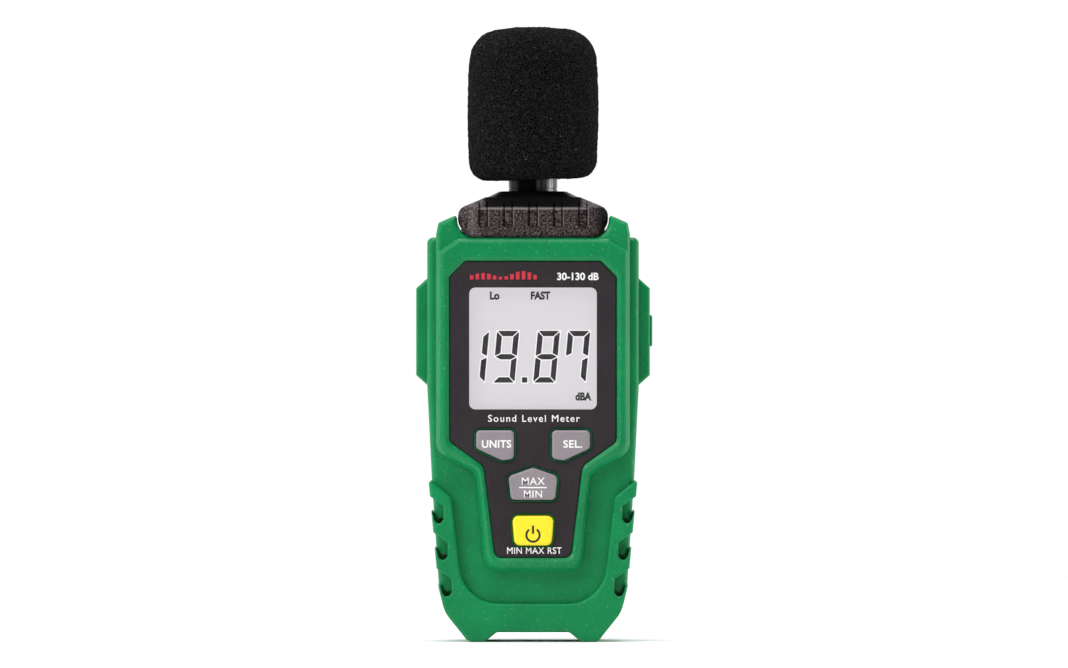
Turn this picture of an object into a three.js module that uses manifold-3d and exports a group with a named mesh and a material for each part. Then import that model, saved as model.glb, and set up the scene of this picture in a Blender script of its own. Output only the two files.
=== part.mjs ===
// A hand-held sound level meter: a two-part moulded case standing on two feet, with a black nose cap,
// a half-inch microphone tube, a pull-off foam windscreen, a display and five keys.
// Millimetres. +X is to the right of someone reading the display, -Y is the front and +Z is up.
// The origin is on the ground, midway between the feet and midway through the depth of the windscreen.

import * as THREE from 'three';
import { mergeVertices } from 'three/addons/utils/BufferGeometryUtils.js';
import Module from 'manifold-3d';

const manifold = await Module();
manifold.setup();

// ------------------------------------------------------------------ driving dimensions

// Case from the front: half widths from the centre line and heights above the ground.
const faceHalf = 25.2;
const flankStep = 2.3;
const bossStep = 2.9;
const shoulder = 105.05;
const hornRise = 5.85;
const footInner = 12.6;
const footOuter = 16.8;
const footNotch = 2.5;
const wall = 2;
const bandWidth = 3.7;
const bandFoot = 18.3;
const bandNeck = 43.6;
const bandHip = 49.3;
const gripTop = 42.5;
const gripStep = 0.45;
const gripWall = 2.9;
const pocketCount = 3;
const pocketPitch = 9.5;
const pocketDrop = 12.2;
const pocketReach = 3.4;
const gripLean = 1.05;
const frameWidth = 7.2;

// Layers through the depth, from the parting plane at Y = 0 towards the front.
const boardSpace = 5.4;
const boardThickness = 1.6;
const backlightLift = 1.15;
const backlightThickness = 2;
const glassThickness = 2.2;
const frontWall = 1.4;
const panelThickness = 1.2;
const panelSink = 0.4;
const valleyDepth = 4;
const frameSink = 1.4;

// Fits.
const seat = 0.05;
const partingGap = 0.1;
const slipGap = 0.2;
const noseGap = 0.35;
const keyGap = 0.3;
const doorGap = 0.25;

// Front panel and display window.
const panelFoot = 22.1;
const panelTopDrop = 6.35;
const panelCorner = 4;
const windowMargin = 4.95;
const windowFoot = 60.4;
const windowTopDrop = 13.05;
const windowCorner = 1.6;
const lensLap = 0.9;
const glassLap = 2;
const holderWall = 1.3;

// Keys.
const keyProud = 1.2;
const keyTravel = 0.8;
const keyBevel = 0.7;
const rimWall = 0.4;
const rimSink = 0.3;
const flangeLap = 0.8;
const flangeThickness = 1;
const stemRadius = 2.6;
const pillRadius = 2.2;
const pillThickness = 0.8;
const matThickness = 1;

// Side boss and the key in its right-hand one.
const bossTopDrop = 10.6;
const bossLength = 27.8;
const bossChamfer = 2.6;
const bossDepth = 15;
const bossWall = 2;
const sideKeyDrop = 24.25;
const sideKeyLength = 8.2;
const sideKeyWidth = 4.2;
const sideKeyY = -3.7;
const sideKeyProud = 0.65;
const sideKeyTravel = 0.6;
const switchBody = 4;

// Nose cap and microphone.
const noseInset = 5.7;
const noseCorner = 4.6;
const noseHeight = 7.3;
const noseRoof = 2.8;
const collarRadius = 12.2;
const collarRise = 1.6;
const grooveCount = 5;
const groovePitch = 6.47;
const grooveWidth = 2.5;
const grooveDepth = 0.8;
const micRadius = 6.35;
const micWall = 0.75;
const micReach = 33;
const flangeRadius = 8;
const grilleHeight = 2.8;

// Foam windscreen.
const foamRadius = 17;
const foamHeight = 39.6;
const foamLift = 3.2;
const foamTopCorner = 8.6;
const foamFootCorner = 5.7;
const foamBulge = 0.35;

// Battery compartment, cells and door.
const cellRadius = 5.25;
const cellLength = 44.5;
const cellGap = 0.4;
const cellCount = 3;
const nubRadius = 1.9;
const nubLength = 1;
const springRoom = 4;
const plateRoom = 1.5;
const bayFoot = 12.8;
const bayLift = 1;
const bayWall = 1.9;
const bayFloor = 1.2;
const doorThickness = 1.7;
const doorLedge = 1.5;

// Fasteners and the tripod insert.
const bossRadius = 2.8;
const screwRadius = 1.1;
const screwHole = 1.2;
const headRadius = 2.2;
const headHeight = 1.6;
const headSeat = 6;
const screwReach = 8;
const boardScrewRadius = 0.85;
const insertRadius = 4.2;
const insertBore = 3.25;
const insertLength = 8;
const insertRise = 15.3;

// ------------------------------------------------------------------ places worked out from them

const flankHalf = faceHalf + flankStep;
const bossHalf = flankHalf + bossStep;
const panelHalf = faceHalf - bandWidth;
const windowHalf = panelHalf - windowMargin;
const windowTop = shoulder - windowTopDrop;
const panelTop = shoulder - panelTopDrop;
const bossTop = shoulder - bossTopDrop;
const bossFoot = bossTop - bossLength;
const sideKeyZ = shoulder - sideKeyDrop;

const boardBack = -boardSpace;
const boardFront = boardBack - boardThickness;
const backlightBack = boardFront - backlightLift;
const backlightFront = backlightBack - backlightThickness;
const glassBack = backlightFront - seat;
const glassFront = glassBack - glassThickness;
const wallInside = glassFront - seat;
const recessFloor = wallInside - frontWall;
const panelBack = recessFloor - seat;
const panelFront = panelBack - panelThickness;
const faceY = panelFront - panelSink;
const valleyY = faceY + valleyDepth;
const valleyInside = valleyY + wall;
const frameY = faceY + frameSink;

const cellPitch = 2 * cellRadius + cellGap;
const bayHalf = (cellCount * cellPitch) / 2 + cellGap;
const bayTop = bayFoot + springRoom + cellLength + plateRoom;
const bayInside = bayLift + bayFloor;
const cellY = bayInside + cellGap + cellRadius;
const bayMouth = cellY + cellRadius + 2 * seat + cellGap;
const back = bayMouth + doorThickness + 2 * seat;
const insertZ = bayTop + bayWall + insertRise;

const noseHalf = faceHalf - noseInset;
const noseFoot = shoulder + noseGap;
const noseTop = noseFoot + noseHeight;
const roofTop = noseTop + noseRoof;
const micFoot = shoulder - wall - seat;
const micTop = shoulder + micReach;
const foamFoot = roofTop + collarRise + foamLift;
const foamTop = foamFoot + foamHeight;

const screwPlaces = [-1, 1].flatMap((side) => [
  { x: side * (faceHalf - 4.7), z: shoulder - 5.85, start: wallInside },
  { x: side * (footInner + 1.9), z: footNotch + wall + bossRadius + 0.5, start: valleyInside },
]);
const boardScrewPlaces = [-1, 1].map((side) => ({ x: side * (faceHalf - 3.2), z: windowFoot - 3.4 }));

// ------------------------------------------------------------------ outlines

// Corner lists hold [x, z, corner radius] and run anticlockwise as seen from the front.

const arcStep = Math.PI / 6;

function mirrored(half) {
  const left = half.filter(([x]) => x > 0).reverse().map(([x, z, radius]) => [-x, z, radius]);
  return [...half, ...left];
}

function flipped(corners) {
  return corners.map(([x, z, radius]) => [-x, z, radius]).reverse();
}

function outline(corners) {
  return corners.flatMap(([x, z, radius = 0], index) => {
    const corner = new THREE.Vector2(x, z);
    if (radius <= 0) return [corner];
    const [beforeX, beforeZ] = corners.at(index - 1);
    const [afterX, afterZ] = corners[(index + 1) % corners.length];
    const before = new THREE.Vector2(beforeX, beforeZ).sub(corner);
    const after = new THREE.Vector2(afterX, afterZ).sub(corner);
    const halfAngle = before.angleTo(after) / 2;
    const longest = 0.9 * Math.min(before.length(), after.length());
    const reach = Math.min(radius / Math.tan(halfAngle), longest);
    const fitted = reach * Math.tan(halfAngle);
    before.normalize();
    after.normalize();
    const middle = before.clone().add(after).normalize();
    const centre = corner.clone().addScaledVector(middle, fitted / Math.sin(halfAngle));
    const start = corner.clone().addScaledVector(before, reach).sub(centre);
    const turn = Math.PI - 2 * halfAngle;
    const sweep = before.cross(after) < 0 ? turn : -turn;
    const steps = Math.max(1, Math.ceil(turn / arcStep));
    return Array.from({ length: steps + 1 }, (_, step) => {
      const spoke = start.clone().rotateAround(new THREE.Vector2(), (sweep * step) / steps);
      return spoke.add(centre);
    });
  });
}

// Moves every edge of a corner list inwards by a distance, or outwards by a negative one.
function inset(corners, distance) {
  return corners.map(([x, z, radius = 0], index) => {
    const [beforeX, beforeZ] = corners.at(index - 1);
    const [afterX, afterZ] = corners[(index + 1) % corners.length];
    const arriving = new THREE.Vector2(x - beforeX, z - beforeZ).normalize();
    const leaving = new THREE.Vector2(afterX - x, afterZ - z).normalize();
    const normalIn = new THREE.Vector2(-arriving.y, arriving.x);
    const normalOut = new THREE.Vector2(-leaving.y, leaving.x);
    const scale = distance / (1 + normalIn.dot(normalOut));
    const shift = normalIn.add(normalOut).multiplyScalar(scale);
    const convex = arriving.cross(leaving) > 0;
    const fitted = radius === 0 ? 0 : Math.max(radius + (convex ? -distance : distance), 0.2);
    return [x + shift.x, z + shift.y, fitted];
  });
}

function rectangle(x0, x1, z0, z1, radius = 0) {
  return [[x0, z0, radius], [x1, z0, radius], [x1, z1, radius], [x0, z1, radius]];
}

// ------------------------------------------------------------------ solids

function solid(geometry) {
  const bare = geometry.clone();
  bare.deleteAttribute('normal');
  bare.deleteAttribute('uv');
  const merged = mergeVertices(bare, 1e-5);
  const index = merged.index.array;
  const kept = [];
  for (let i = 0; i < index.length; i += 3) {
    const [a, b, c] = index.subarray(i, i + 3);
    if (a !== b && b !== c && c !== a) kept.push(a, b, c);
  }
  const mesh = new manifold.Mesh({
    numProp: 3,
    vertProperties: new Float32Array(merged.attributes.position.array),
    triVerts: new Uint32Array(kept),
  });
  mesh.merge();
  return new manifold.Manifold(mesh);
}

function geometryOf(body) {
  const mesh = body.getMesh();
  const geometry = new THREE.BufferGeometry();
  geometry.setAttribute('position', new THREE.BufferAttribute(mesh.vertProperties, 3));
  geometry.setIndex(new THREE.BufferAttribute(mesh.triVerts, 1));
  geometry.computeVertexNormals();
  return geometry;
}

// Swings a shape drawn in X and Y upright, with its extrusion running towards -Y.
const upright = new THREE.Matrix4().makeRotationX(Math.PI / 2);

// Lays a shape drawn as (Y, Z) across the object, with its extrusion running towards +X.
const across = new THREE.Matrix4().makeBasis(
  new THREE.Vector3(0, 1, 0),
  new THREE.Vector3(0, 0, 1),
  new THREE.Vector3(1, 0, 0),
);

function extrude(corners, depth, steps = 1) {
  const shape = new THREE.Shape(outline(corners));
  return new THREE.ExtrudeGeometry(shape, { depth, steps, bevelEnabled: false });
}

// An upright outline through the depth from front to rear, with its end edges chamfered on request.
function prism(corners, front, rear, frontBevel = 0, rearBevel = 0) {
  const depth = rear - front;
  const geometry = extrude(corners, depth, frontBevel + rearBevel > 0 ? 3 : 1);
  if (frontBevel + rearBevel === 0) return solid(geometry.applyMatrix4(upright).translate(0, rear, 0));
  const position = geometry.attributes.position;
  const wide = outline(corners);
  const ends = [
    { level: 0, narrow: outline(inset(corners, rearBevel)), bevel: rearBevel },
    { level: 3, narrow: outline(inset(corners, frontBevel)), bevel: frontBevel },
  ];
  for (let i = 0; i < position.count; i += 1) {
    const level = Math.round((3 * position.getZ(i)) / depth);
    const end = ends.find((one) => one.level === level);
    if (end) {
      const here = new THREE.Vector2(position.getX(i), position.getY(i));
      const distances = wide.map((point) => point.distanceToSquared(here));
      const match = end.narrow[distances.indexOf(Math.min(...distances))];
      position.setXY(i, match.x, match.y);
    }
    if (level === 1) position.setZ(i, rearBevel > 0 ? rearBevel : depth / 3);
    if (level === 2) position.setZ(i, frontBevel > 0 ? depth - frontBevel : (2 * depth) / 3);
  }
  return solid(geometry.applyMatrix4(upright).translate(0, rear, 0));
}

// A side profile of [y, z] corners swept across the width from x0 to x1.
function sideways(corners, x0, x1) {
  return solid(extrude(corners, x1 - x0).applyMatrix4(across).translate(x0, 0, 0));
}

function block(x0, x1, y0, y1, z0, z1) {
  const geometry = new THREE.BoxGeometry(x1 - x0, y1 - y0, z1 - z0);
  return solid(geometry.translate((x0 + x1) / 2, (y0 + y1) / 2, (z0 + z1) / 2));
}

// A round bar along the depth.
function rod(x, z, radius, front, rear, sides = 16) {
  const geometry = new THREE.CylinderGeometry(radius, radius, rear - front, sides);
  return solid(geometry.translate(x, (front + rear) / 2, z));
}

// A closed [radius, height] profile, listed anticlockwise, turned about the vertical axis.
function turned(profile, sides = 24) {
  const points = [...profile, profile[0]].map(([radius, height]) => new THREE.Vector2(radius, height));
  return solid(new THREE.LatheGeometry(points, sides).rotateX(Math.PI / 2));
}

// A round wire along a smooth curve through the points.
function wire(points, radius, steps, sides = 6) {
  const path = new THREE.CatmullRomCurve3(points.map(([x, y, z]) => new THREE.Vector3(x, y, z)));
  const round = Array.from({ length: sides }, (_, side) => {
    const angle = (2 * Math.PI * side) / sides;
    return new THREE.Vector2(radius * Math.cos(angle), radius * Math.sin(angle));
  });
  return solid(new THREE.ExtrudeGeometry(new THREE.Shape(round), { steps, extrudePath: path }));
}

// ------------------------------------------------------------------ the case's outlines

const bandSide = [
  [0, bandFoot],
  [panelHalf - 8.85, bandFoot, 4.2],
  [panelHalf - 6.55, bandNeck, 3],
  [faceHalf, bandHip, 4.5],
];

const faceCorners = mirrored([
  ...bandSide,
  [faceHalf, shoulder + 0.6, 1],
  [faceHalf - 0.6, shoulder + hornRise - 2.1, 0.8],
  [noseHalf + noseGap, shoulder + hornRise, 0.5],
  [noseHalf + noseGap, shoulder, noseCorner + noseGap],
  [0, shoulder],
]);

const flankSide = [
  [0, footNotch],
  [footInner - 3.2, footNotch, 1.2],
  [footInner, 0, 1.2],
  [footOuter, 0, 2.5],
  [faceHalf - 2.2, 7.7, 9],
  [faceHalf - 0.75, bandFoot - 4, 12],
  [faceHalf + 1.1, gripTop, 20],
  [flankHalf, bossFoot, 10],
];

const flankCorners = mirrored([
  ...flankSide,
  [flankHalf, shoulder, 1.6],
  [0, shoulder],
]);

const gripSide = [
  [0, footNotch],
  [footInner - 3.2, footNotch, 1.2],
  [footInner, 0, 1.2],
  [footOuter, 0, 2.5],
  [faceHalf - 2.2, 7.7, 9],
  [faceHalf - 0.6, bandFoot - 4, 12],
  [faceHalf + 1.55 + gripStep, gripTop, 0.6],
  [faceHalf - 4.1, gripTop - 4.9, 1],
  [faceHalf - 5.9, bandFoot + 4, 12],
  [faceHalf - frameWidth, 10, 10],
  [0, 10],
];
const gripCorners = mirrored(gripSide);

function insideCorners(clearance) {
  const off = wall + clearance;
  return mirrored([
    [0, footNotch + off],
    [footOuter, footNotch + off, 3],
    [faceHalf - 0.6 - gripWall - clearance, bandFoot - 4, 6],
    [faceHalf + 1.1 - gripWall - clearance, gripTop, 8],
    [flankHalf - off, bossFoot, 8],
    [flankHalf - off, shoulder - off, 2],
    [0, shoulder - off],
  ]);
}

const faceInside = inset(mirrored([...bandSide, [faceHalf, shoulder], [0, shoulder]]), wall);

const panelCorners = mirrored([
  [0, panelFoot],
  [panelHalf - 11.75, panelFoot, 1.8],
  [panelHalf - 8.85, panelFoot + 23.7, 3.5],
  [panelHalf, panelFoot + 30, 2],
  [panelHalf, panelTop - panelCorner, 0.8],
  [panelHalf - panelCorner, panelTop, 0.8],
  [0, panelTop],
]);

const windowCorners = rectangle(-windowHalf, windowHalf, windowFoot, windowTop, windowCorner);

function bossCorners(side) {
  const slope = bossChamfer / bossStep;
  const root = flankHalf - wall;
  const right = [
    [root, bossFoot - wall * slope],
    [bossHalf, bossFoot + bossChamfer, 0.6],
    [bossHalf, bossTop - bossChamfer, 0.6],
    [root, bossTop + wall * slope],
  ];
  return side > 0 ? right : flipped(right);
}

// ------------------------------------------------------------------ keys

const sideKeys = [
  [panelHalf - 6.7, panelFoot + 28.2, 1.2],
  [panelHalf - 6.7, panelFoot + 32.9, 1.2],
  [4.9, panelFoot + 32.9, 1.2],
  [4.9, panelFoot + 25.5, 1.2],
  [8, panelFoot + 25, 1.2],
];

const sideKeysX = (panelHalf - 1.8) / 2;
const sideKeysZ = panelFoot + 29.2;
const keyGrey = 0x968e94;

const keys = [
  { name: 'units', colour: keyGrey, x: -sideKeysX, z: sideKeysZ, corners: flipped(sideKeys) },
  { name: 'select', colour: keyGrey, x: sideKeysX, z: sideKeysZ, corners: sideKeys },
  {
    name: 'max_min',
    colour: keyGrey,
    x: 0,
    z: panelFoot + 18.7,
    corners: mirrored([
      [5.75, panelFoot + 14.8, 1.2],
      [6.4, panelFoot + 21, 1.4],
      [0, panelFoot + 23.2, 1],
    ]),
  },
  {
    name: 'power',
    colour: 0xfef02d,
    x: 0,
    z: panelFoot + 6.8,
    corners: mirrored([
      [4.8, panelFoot + 3, 1.6],
      [5.45, panelFoot + 10.7, 1.6],
    ]),
  },
];

function keyCap({ x, z, corners }) {
  const flangeFront = wallInside + 2 * seat;
  const flangeBack = flangeFront + flangeThickness;
  const stemBack = boardFront - pillThickness - keyTravel - 3 * seat;
  return prism(corners, panelFront - keyProud, flangeFront + seat, keyBevel)
    .add(prism(inset(corners, -flangeLap), flangeFront, flangeBack))
    .add(rod(x, z, stemRadius, flangeBack - seat, stemBack));
}

function contactPill({ x, z }) {
  const pillBack = boardFront - keyTravel - 2 * seat;
  return rod(x, z, pillRadius, pillBack - pillThickness, pillBack);
}

function keypadMat() {
  const corners = mirrored([
    [0, panelFoot + 1.6],
    [panelHalf - 12.3, panelFoot + 1.6, 1.5],
    [panelHalf - 10, panelFoot + 22, 2],
    [panelHalf - 4, panelFoot + 28, 2],
    [panelHalf - 4, windowFoot - glassLap - holderWall - slipGap - 1, 1.5],
    [0, windowFoot - glassLap - holderWall - slipGap - 1],
  ]);
  const mat = prism(corners, boardFront - seat - matThickness, boardFront - seat);
  return keys.reduce(
    (rest, { x, z }) => rest.subtract(rod(x, z, stemRadius + keyGap, boardFront - 3, boardFront + 1)),
    mat,
  );
}

// ------------------------------------------------------------------ case halves

// Finger pockets through the long edges of the grip frame. Each bares the flank beneath it.
function gripPockets() {
  const pockets = Array.from({ length: pocketCount }, (_, row) => {
    const x = faceHalf + 1.4 - gripLean * row - pocketReach;
    const z = gripTop - pocketDrop - pocketPitch * row;
    const corners = [
      [x, z + 1.4, 1],
      [x + 1.4, z, 0.9],
      [x + 2.7, z + 1.4, 0.9],
      [x + 4.3, z + 5.3],
      [x + 5.3, z + 8.85],
      [x, z + 4.9, 0.4],
    ];
    return [1, -1].map((side) => prism(side > 0 ? corners : flipped(corners), faceY - 1, back + 1));
  });
  return manifold.Manifold.union(pockets.flat());
}

// The hole for the microphone tube, in the shoulder and in the nose cap.
function micHole(foot, top) {
  const radius = micRadius + slipGap;
  return turned([[0, foot], [radius, foot], [radius, top], [0, top]]);
}

function boss(side, front, rear, frontBevel, rearBevel) {
  return prism(bossCorners(side), front, rear, frontBevel, rearBevel);
}

function frontCase() {
  const edge = -partingGap / 2;
  let shell = prism(flankCorners, valleyY, edge, 1.4)
    .add(prism(faceCorners, faceY, edge, 0.9))
    .add(prism(gripCorners, frameY, edge, 0.8).subtract(gripPockets()));
  for (const side of [-1, 1]) shell = shell.add(boss(side, -bossDepth / 2, edge, 0.8, 0));
  shell = shell
    .subtract(prism(insideCorners(0), valleyInside, 1))
    .subtract(prism(faceInside, wallInside, valleyInside + 1));
  for (const { x, z, start } of screwPlaces) shell = shell.add(rod(x, z, bossRadius, start - seat, edge));
  for (const { x, z } of boardScrewPlaces) {
    shell = shell
      .add(rod(x, z, 2 * boardScrewRadius, wallInside - seat, boardFront - seat))
      .subtract(rod(x, z, boardScrewRadius + seat * 2, wallInside + 1, 1));
  }
  for (const { x, z } of screwPlaces) shell = shell.subtract(rod(x, z, screwHole, -screwReach - 0.6, 1, 12));
  shell = shell.subtract(prism(inset(panelCorners, -slipGap), faceY - 1, recessFloor));
  for (const { corners } of keys) {
    shell = shell.add(prism(inset(corners, -keyGap - rimWall), panelFront + rimSink, recessFloor + seat));
  }
  for (const { corners } of keys) {
    shell = shell.subtract(prism(inset(corners, -keyGap), faceY - 1, wallInside + 1));
  }
  return shell
    .subtract(prism(inset(windowCorners, -lensLap - slipGap), recessFloor - 1, wallInside + 1))
    .subtract(sideKeyPocket())
    .subtract(sideKeySlot())
    .subtract(micHole(shoulder - 9, shoulder + 5));
}

function sideKeyPocket() {
  const half = sideKeyLength / 2 + 2;
  const reach = sideKeyWidth / 2 + 1.3;
  const root = flankHalf - wall - 1;
  return block(root, bossHalf - bossWall, sideKeyY - reach, 1, sideKeyZ - half, sideKeyZ + half);
}

function sideKeySlot() {
  const half = sideKeyLength / 2 + keyGap;
  const reach = sideKeyWidth / 2 + keyGap;
  return block(flankHalf, bossHalf + 1, sideKeyY - reach, sideKeyY + reach, sideKeyZ - half, sideKeyZ + half);
}

function rearCase() {
  const edge = partingGap / 2;
  let shell = prism(flankCorners, edge, back, 0, 2.4)
    .add(prism(faceCorners, edge, back, 0, 1.6))
    .add(prism(gripCorners, edge, back - 1, 0, 2).subtract(gripPockets()));
  for (const side of [-1, 1]) shell = shell.add(boss(side, edge, bossDepth / 2, 0, 0.8));
  shell = shell.subtract(prism(insideCorners(0), -1, back - wall));
  for (const { x, z } of screwPlaces) shell = shell.add(rod(x, z, bossRadius + 0.6, edge, back - 1));
  const bayOut = bayHalf + bayWall;
  shell = shell
    .add(block(-bayOut, bayOut, bayLift, back - seat, bayFoot - bayWall, bayTop + bayWall))
    .subtract(block(-bayHalf, bayHalf, bayInside, back + 1, bayFoot, bayTop))
    .subtract(prism(doorCorners(0), bayMouth, back + 1))
    .add(rod(0, insertZ, insertRadius + wall, back - insertLength - wall, back - seat))
    .subtract(rod(0, insertZ, insertRadius + slipGap, back - insertLength - 2 * seat, back + 1, 24));
  for (const { x, z } of screwPlaces) {
    shell = shell
      .subtract(rod(x, z, screwHole + 0.1, -1, back, 12))
      .subtract(rod(x, z, headRadius + slipGap, headSeat, back + 1));
  }
  return shell.subtract(micHole(shoulder - 9, shoulder + 5));
}

// ------------------------------------------------------------------ battery door, cells and contacts

function doorCorners(gap) {
  const half = bayHalf + doorLedge - gap;
  return rectangle(-half, half, bayFoot - doorLedge + gap, bayTop + doorLedge - gap, 2);
}

function batteryDoor() {
  let door = prism(doorCorners(doorGap), bayMouth + seat, back - seat, 0, 0.4);
  for (const side of [-1, 1]) {
    const x = side * cellPitch;
    door = door.add(block(x - 2, x + 2, bayMouth - 1.3, bayMouth + 0.5, bayFoot + 0.2, bayFoot + 1.2));
  }
  door = door.add(block(-4, 4, bayMouth - 1.3, bayMouth + 0.5, bayTop - 1.2, bayTop - 0.2));
  for (let row = 0; row < 4; row += 1) {
    const z = bayTop - 3.5 - 2.2 * row;
    door = door.subtract(block(-7, 7, back - 0.6, back + 1, z - 0.5, z + 0.5));
  }
  return door;
}

function cell(column) {
  const up = column % 2 === 0;
  const shape = [
    [0, 0],
    [cellRadius - 0.4, 0],
    [cellRadius, 0.4],
    [cellRadius, cellLength - nubLength - 0.4],
    [cellRadius - 0.4, cellLength - nubLength],
    [nubRadius, cellLength - nubLength],
    [nubRadius, cellLength],
    [0, cellLength],
  ];
  return turned(shape, 20)
    .rotate([up ? 0 : 180, 0, 0])
    .translate([cellX(column), cellY, up ? bayFoot + springRoom : bayTop - springRoom]);
}

function cellX(column) {
  return (column - (cellCount - 1) / 2) * cellPitch;
}

// A coil on a square plate, pressing on a cell's flat end.
function contactSpring(column) {
  const up = column % 2 === 0;
  const turns = 2.5;
  const steps = 8 * turns;
  const points = Array.from({ length: steps + 1 }, (_, step) => {
    const angle = (2 * Math.PI * step) / 8;
    const radius = 3.6 - (1.1 * step) / steps;
    return [radius * Math.cos(angle), radius * Math.sin(angle), 0.5 + ((springRoom - 1.1) * step) / steps];
  });
  return block(-4, 4, -4, 4, seat, 0.45)
    .add(wire(points, 0.3, steps, 5))
    .rotate([up ? 0 : 180, 0, 0])
    .translate([cellX(column), cellY, up ? bayFoot : bayTop]);
}

// A square plate with a raised pip, bearing on a cell's nub.
function contactPlate(column) {
  const up = column % 2 === 0;
  const pip = turned([[0, 0.3], [1.5, 0.3], [1, plateRoom - seat], [0, plateRoom - seat]], 12);
  return block(-4, 4, -4, 4, seat, 0.45)
    .add(pip)
    .rotate([up ? 180 : 0, 0, 0])
    .translate([cellX(column), cellY, up ? bayTop : bayFoot]);
}

// ------------------------------------------------------------------ display and board

function frontPanel() {
  const window = prism(windowCorners, faceY - 1, recessFloor);
  let panel = prism(panelCorners, panelFront, panelBack).subtract(window);
  for (const { corners } of keys) {
    panel = panel.subtract(prism(inset(corners, -keyGap - rimWall - slipGap), faceY - 1, recessFloor));
  }
  return panel;
}

function displayHolder() {
  const outer = inset(windowCorners, -glassLap - slipGap - holderWall);
  const inner = inset(windowCorners, -glassLap - slipGap);
  return prism(outer, glassFront + seat, boardFront - seat).subtract(prism(inner, faceY, 0));
}

function backlight() {
  const half = windowHalf + glassLap;
  const corner = windowCorner + glassLap;
  const corners = rectangle(-half, half, windowFoot + 1.4, windowTop + glassLap, corner);
  return prism(corners, backlightFront, backlightBack);
}

function displayConnector() {
  const foot = windowFoot - glassLap + 0.3;
  return block(-windowHalf, windowHalf, glassBack + seat, boardFront - seat, foot, foot + 2.2);
}

function mainBoard() {
  const edge = flankHalf - wall - 0.8;
  const top = windowTop + glassLap + holderWall + slipGap;
  let board = prism(
    mirrored([
      [0, footNotch + 9.8],
      [faceHalf - 6, footNotch + 9.8, 2],
      [faceHalf - 2.7, gripTop, 6],
      [edge, bossFoot, 6],
      [edge, top, 1],
      [faceHalf - 8.4, top, 0.8],
      [faceHalf - 8.4, micFoot - 2.5, 1],
      [0, micFoot - 2.5],
    ]),
    boardFront,
    boardBack,
  );
  for (const { x, z } of boardScrewPlaces) {
    board = board.subtract(rod(x, z, boardScrewRadius + slipGap, boardFront - 1, boardBack + 1));
  }
  return board;
}

function sideKey() {
  const half = sideKeyLength / 2;
  const reach = sideKeyWidth / 2;
  const flangeOut = bossHalf - bossWall - 2 * seat;
  const cap = sideways(rectangle(sideKeyY - reach, sideKeyY + reach, sideKeyZ - half, sideKeyZ + half, 0.8),
    flangeOut - seat, bossHalf + sideKeyProud);
  const flange = block(flangeOut - 1, flangeOut, sideKeyY - reach - 0.8, sideKeyY + reach + 0.8,
    sideKeyZ - half - 0.8, sideKeyZ + half + 0.8);
  const stem = block(switchTip() + sideKeyTravel + 2 * seat, flangeOut - 0.5, sideKeyY - 1, sideKeyY + 1,
    sideKeyZ - 1.5, sideKeyZ + 1.5);
  return cap.add(flange).add(stem);
}

function switchTip() {
  return flankHalf - wall - 0.2;
}

function sideSwitch() {
  const tip = switchTip();
  const body = block(tip - 0.7 - switchBody, tip - 0.7, boardBack + seat, boardBack + 3.4, sideKeyZ - 2.8,
    sideKeyZ + 2.8);
  return body.add(block(tip - 1, tip, sideKeyY - 0.8, sideKeyY + 0.8, sideKeyZ - 1.2, sideKeyZ + 1.2));
}

// ------------------------------------------------------------------ nose cap, microphone, windscreen

function noseCap() {
  const depth = -faceY - 0.5;
  const front = prism(
    mirrored([
      [0, noseFoot],
      [noseHalf, noseFoot, noseCorner],
      [noseHalf, noseTop - 0.3, 2.4],
      [collarRadius, roofTop, 0.4],
      [0, roofTop],
    ]),
    -depth,
    depth,
    0.9,
    0.9,
  );
  const hip = collarRadius;
  const roof = sideways(
    [[-depth, noseFoot - 1], [depth, noseFoot - 1], [depth, noseTop, 0.4], [hip, roofTop], [-hip, roofTop],
      [-depth, noseTop, 0.4]],
    -noseHalf - 1,
    noseHalf + 1,
  );
  const collar = turned([
    [0, roofTop - 2],
    [collarRadius, roofTop - 2],
    [collarRadius, roofTop - 0.2],
    [collarRadius - 3.6, roofTop + collarRise],
    [0, roofTop + collarRise],
  ], 32);
  let cap = front.intersect(roof).add(collar);
  for (let index = 0; index < grooveCount; index += 1) {
    const x = (index - (grooveCount - 1) / 2) * groovePitch;
    const floor = -depth + grooveDepth;
    const profile = [
      [-depth - 2, noseFoot + 2.1],
      [floor, noseFoot + 2.1],
      [floor, noseTop - 0.5],
      [floor + 1.9, noseTop + 1.3],
      [floor + 1.9, roofTop + 3],
      [-depth - 2, roofTop + 3],
    ];
    const groove = sideways(profile, x - grooveWidth / 2, x + grooveWidth / 2);
    cap = cap.subtract(groove).subtract(groove.mirror([0, 1, 0]));
  }
  return cap
    .subtract(turned([[0, noseFoot - 1], [10, noseFoot - 1], [10, noseTop - 1.5], [0, noseTop - 1.5]]))
    .subtract(micHole(noseFoot - 1, roofTop + 9));
}

function ring(inner, outer, foot, top) {
  return turned([[inner, foot], [outer, foot], [outer, top], [inner, top]]);
}

function micTube() {
  const bore = micRadius - micWall;
  return turned([
    [bore, micFoot - 1.5],
    [flangeRadius, micFoot - 1.5],
    [flangeRadius, micFoot],
    [micRadius, micFoot],
    [micRadius, micTop],
    [bore, micTop],
  ]);
}

function micGrille() {
  const foot = micTop + seat;
  const top = foot + grilleHeight;
  let grille = turned([
    [micRadius - 1.1, foot],
    [micRadius, foot],
    [micRadius, top - 0.4],
    [micRadius - 0.4, top],
    [0, top],
    [0, top - 0.8],
    [micRadius - 1.1, top - 0.8],
  ]);
  for (const x of [-3, -1, 1, 3]) {
    const reach = Math.sqrt((micRadius - 1.4) ** 2 - x ** 2);
    grille = grille.subtract(block(x - 0.45, x + 0.45, -reach, reach, top - 2, top + 1));
  }
  return grille;
}

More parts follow.
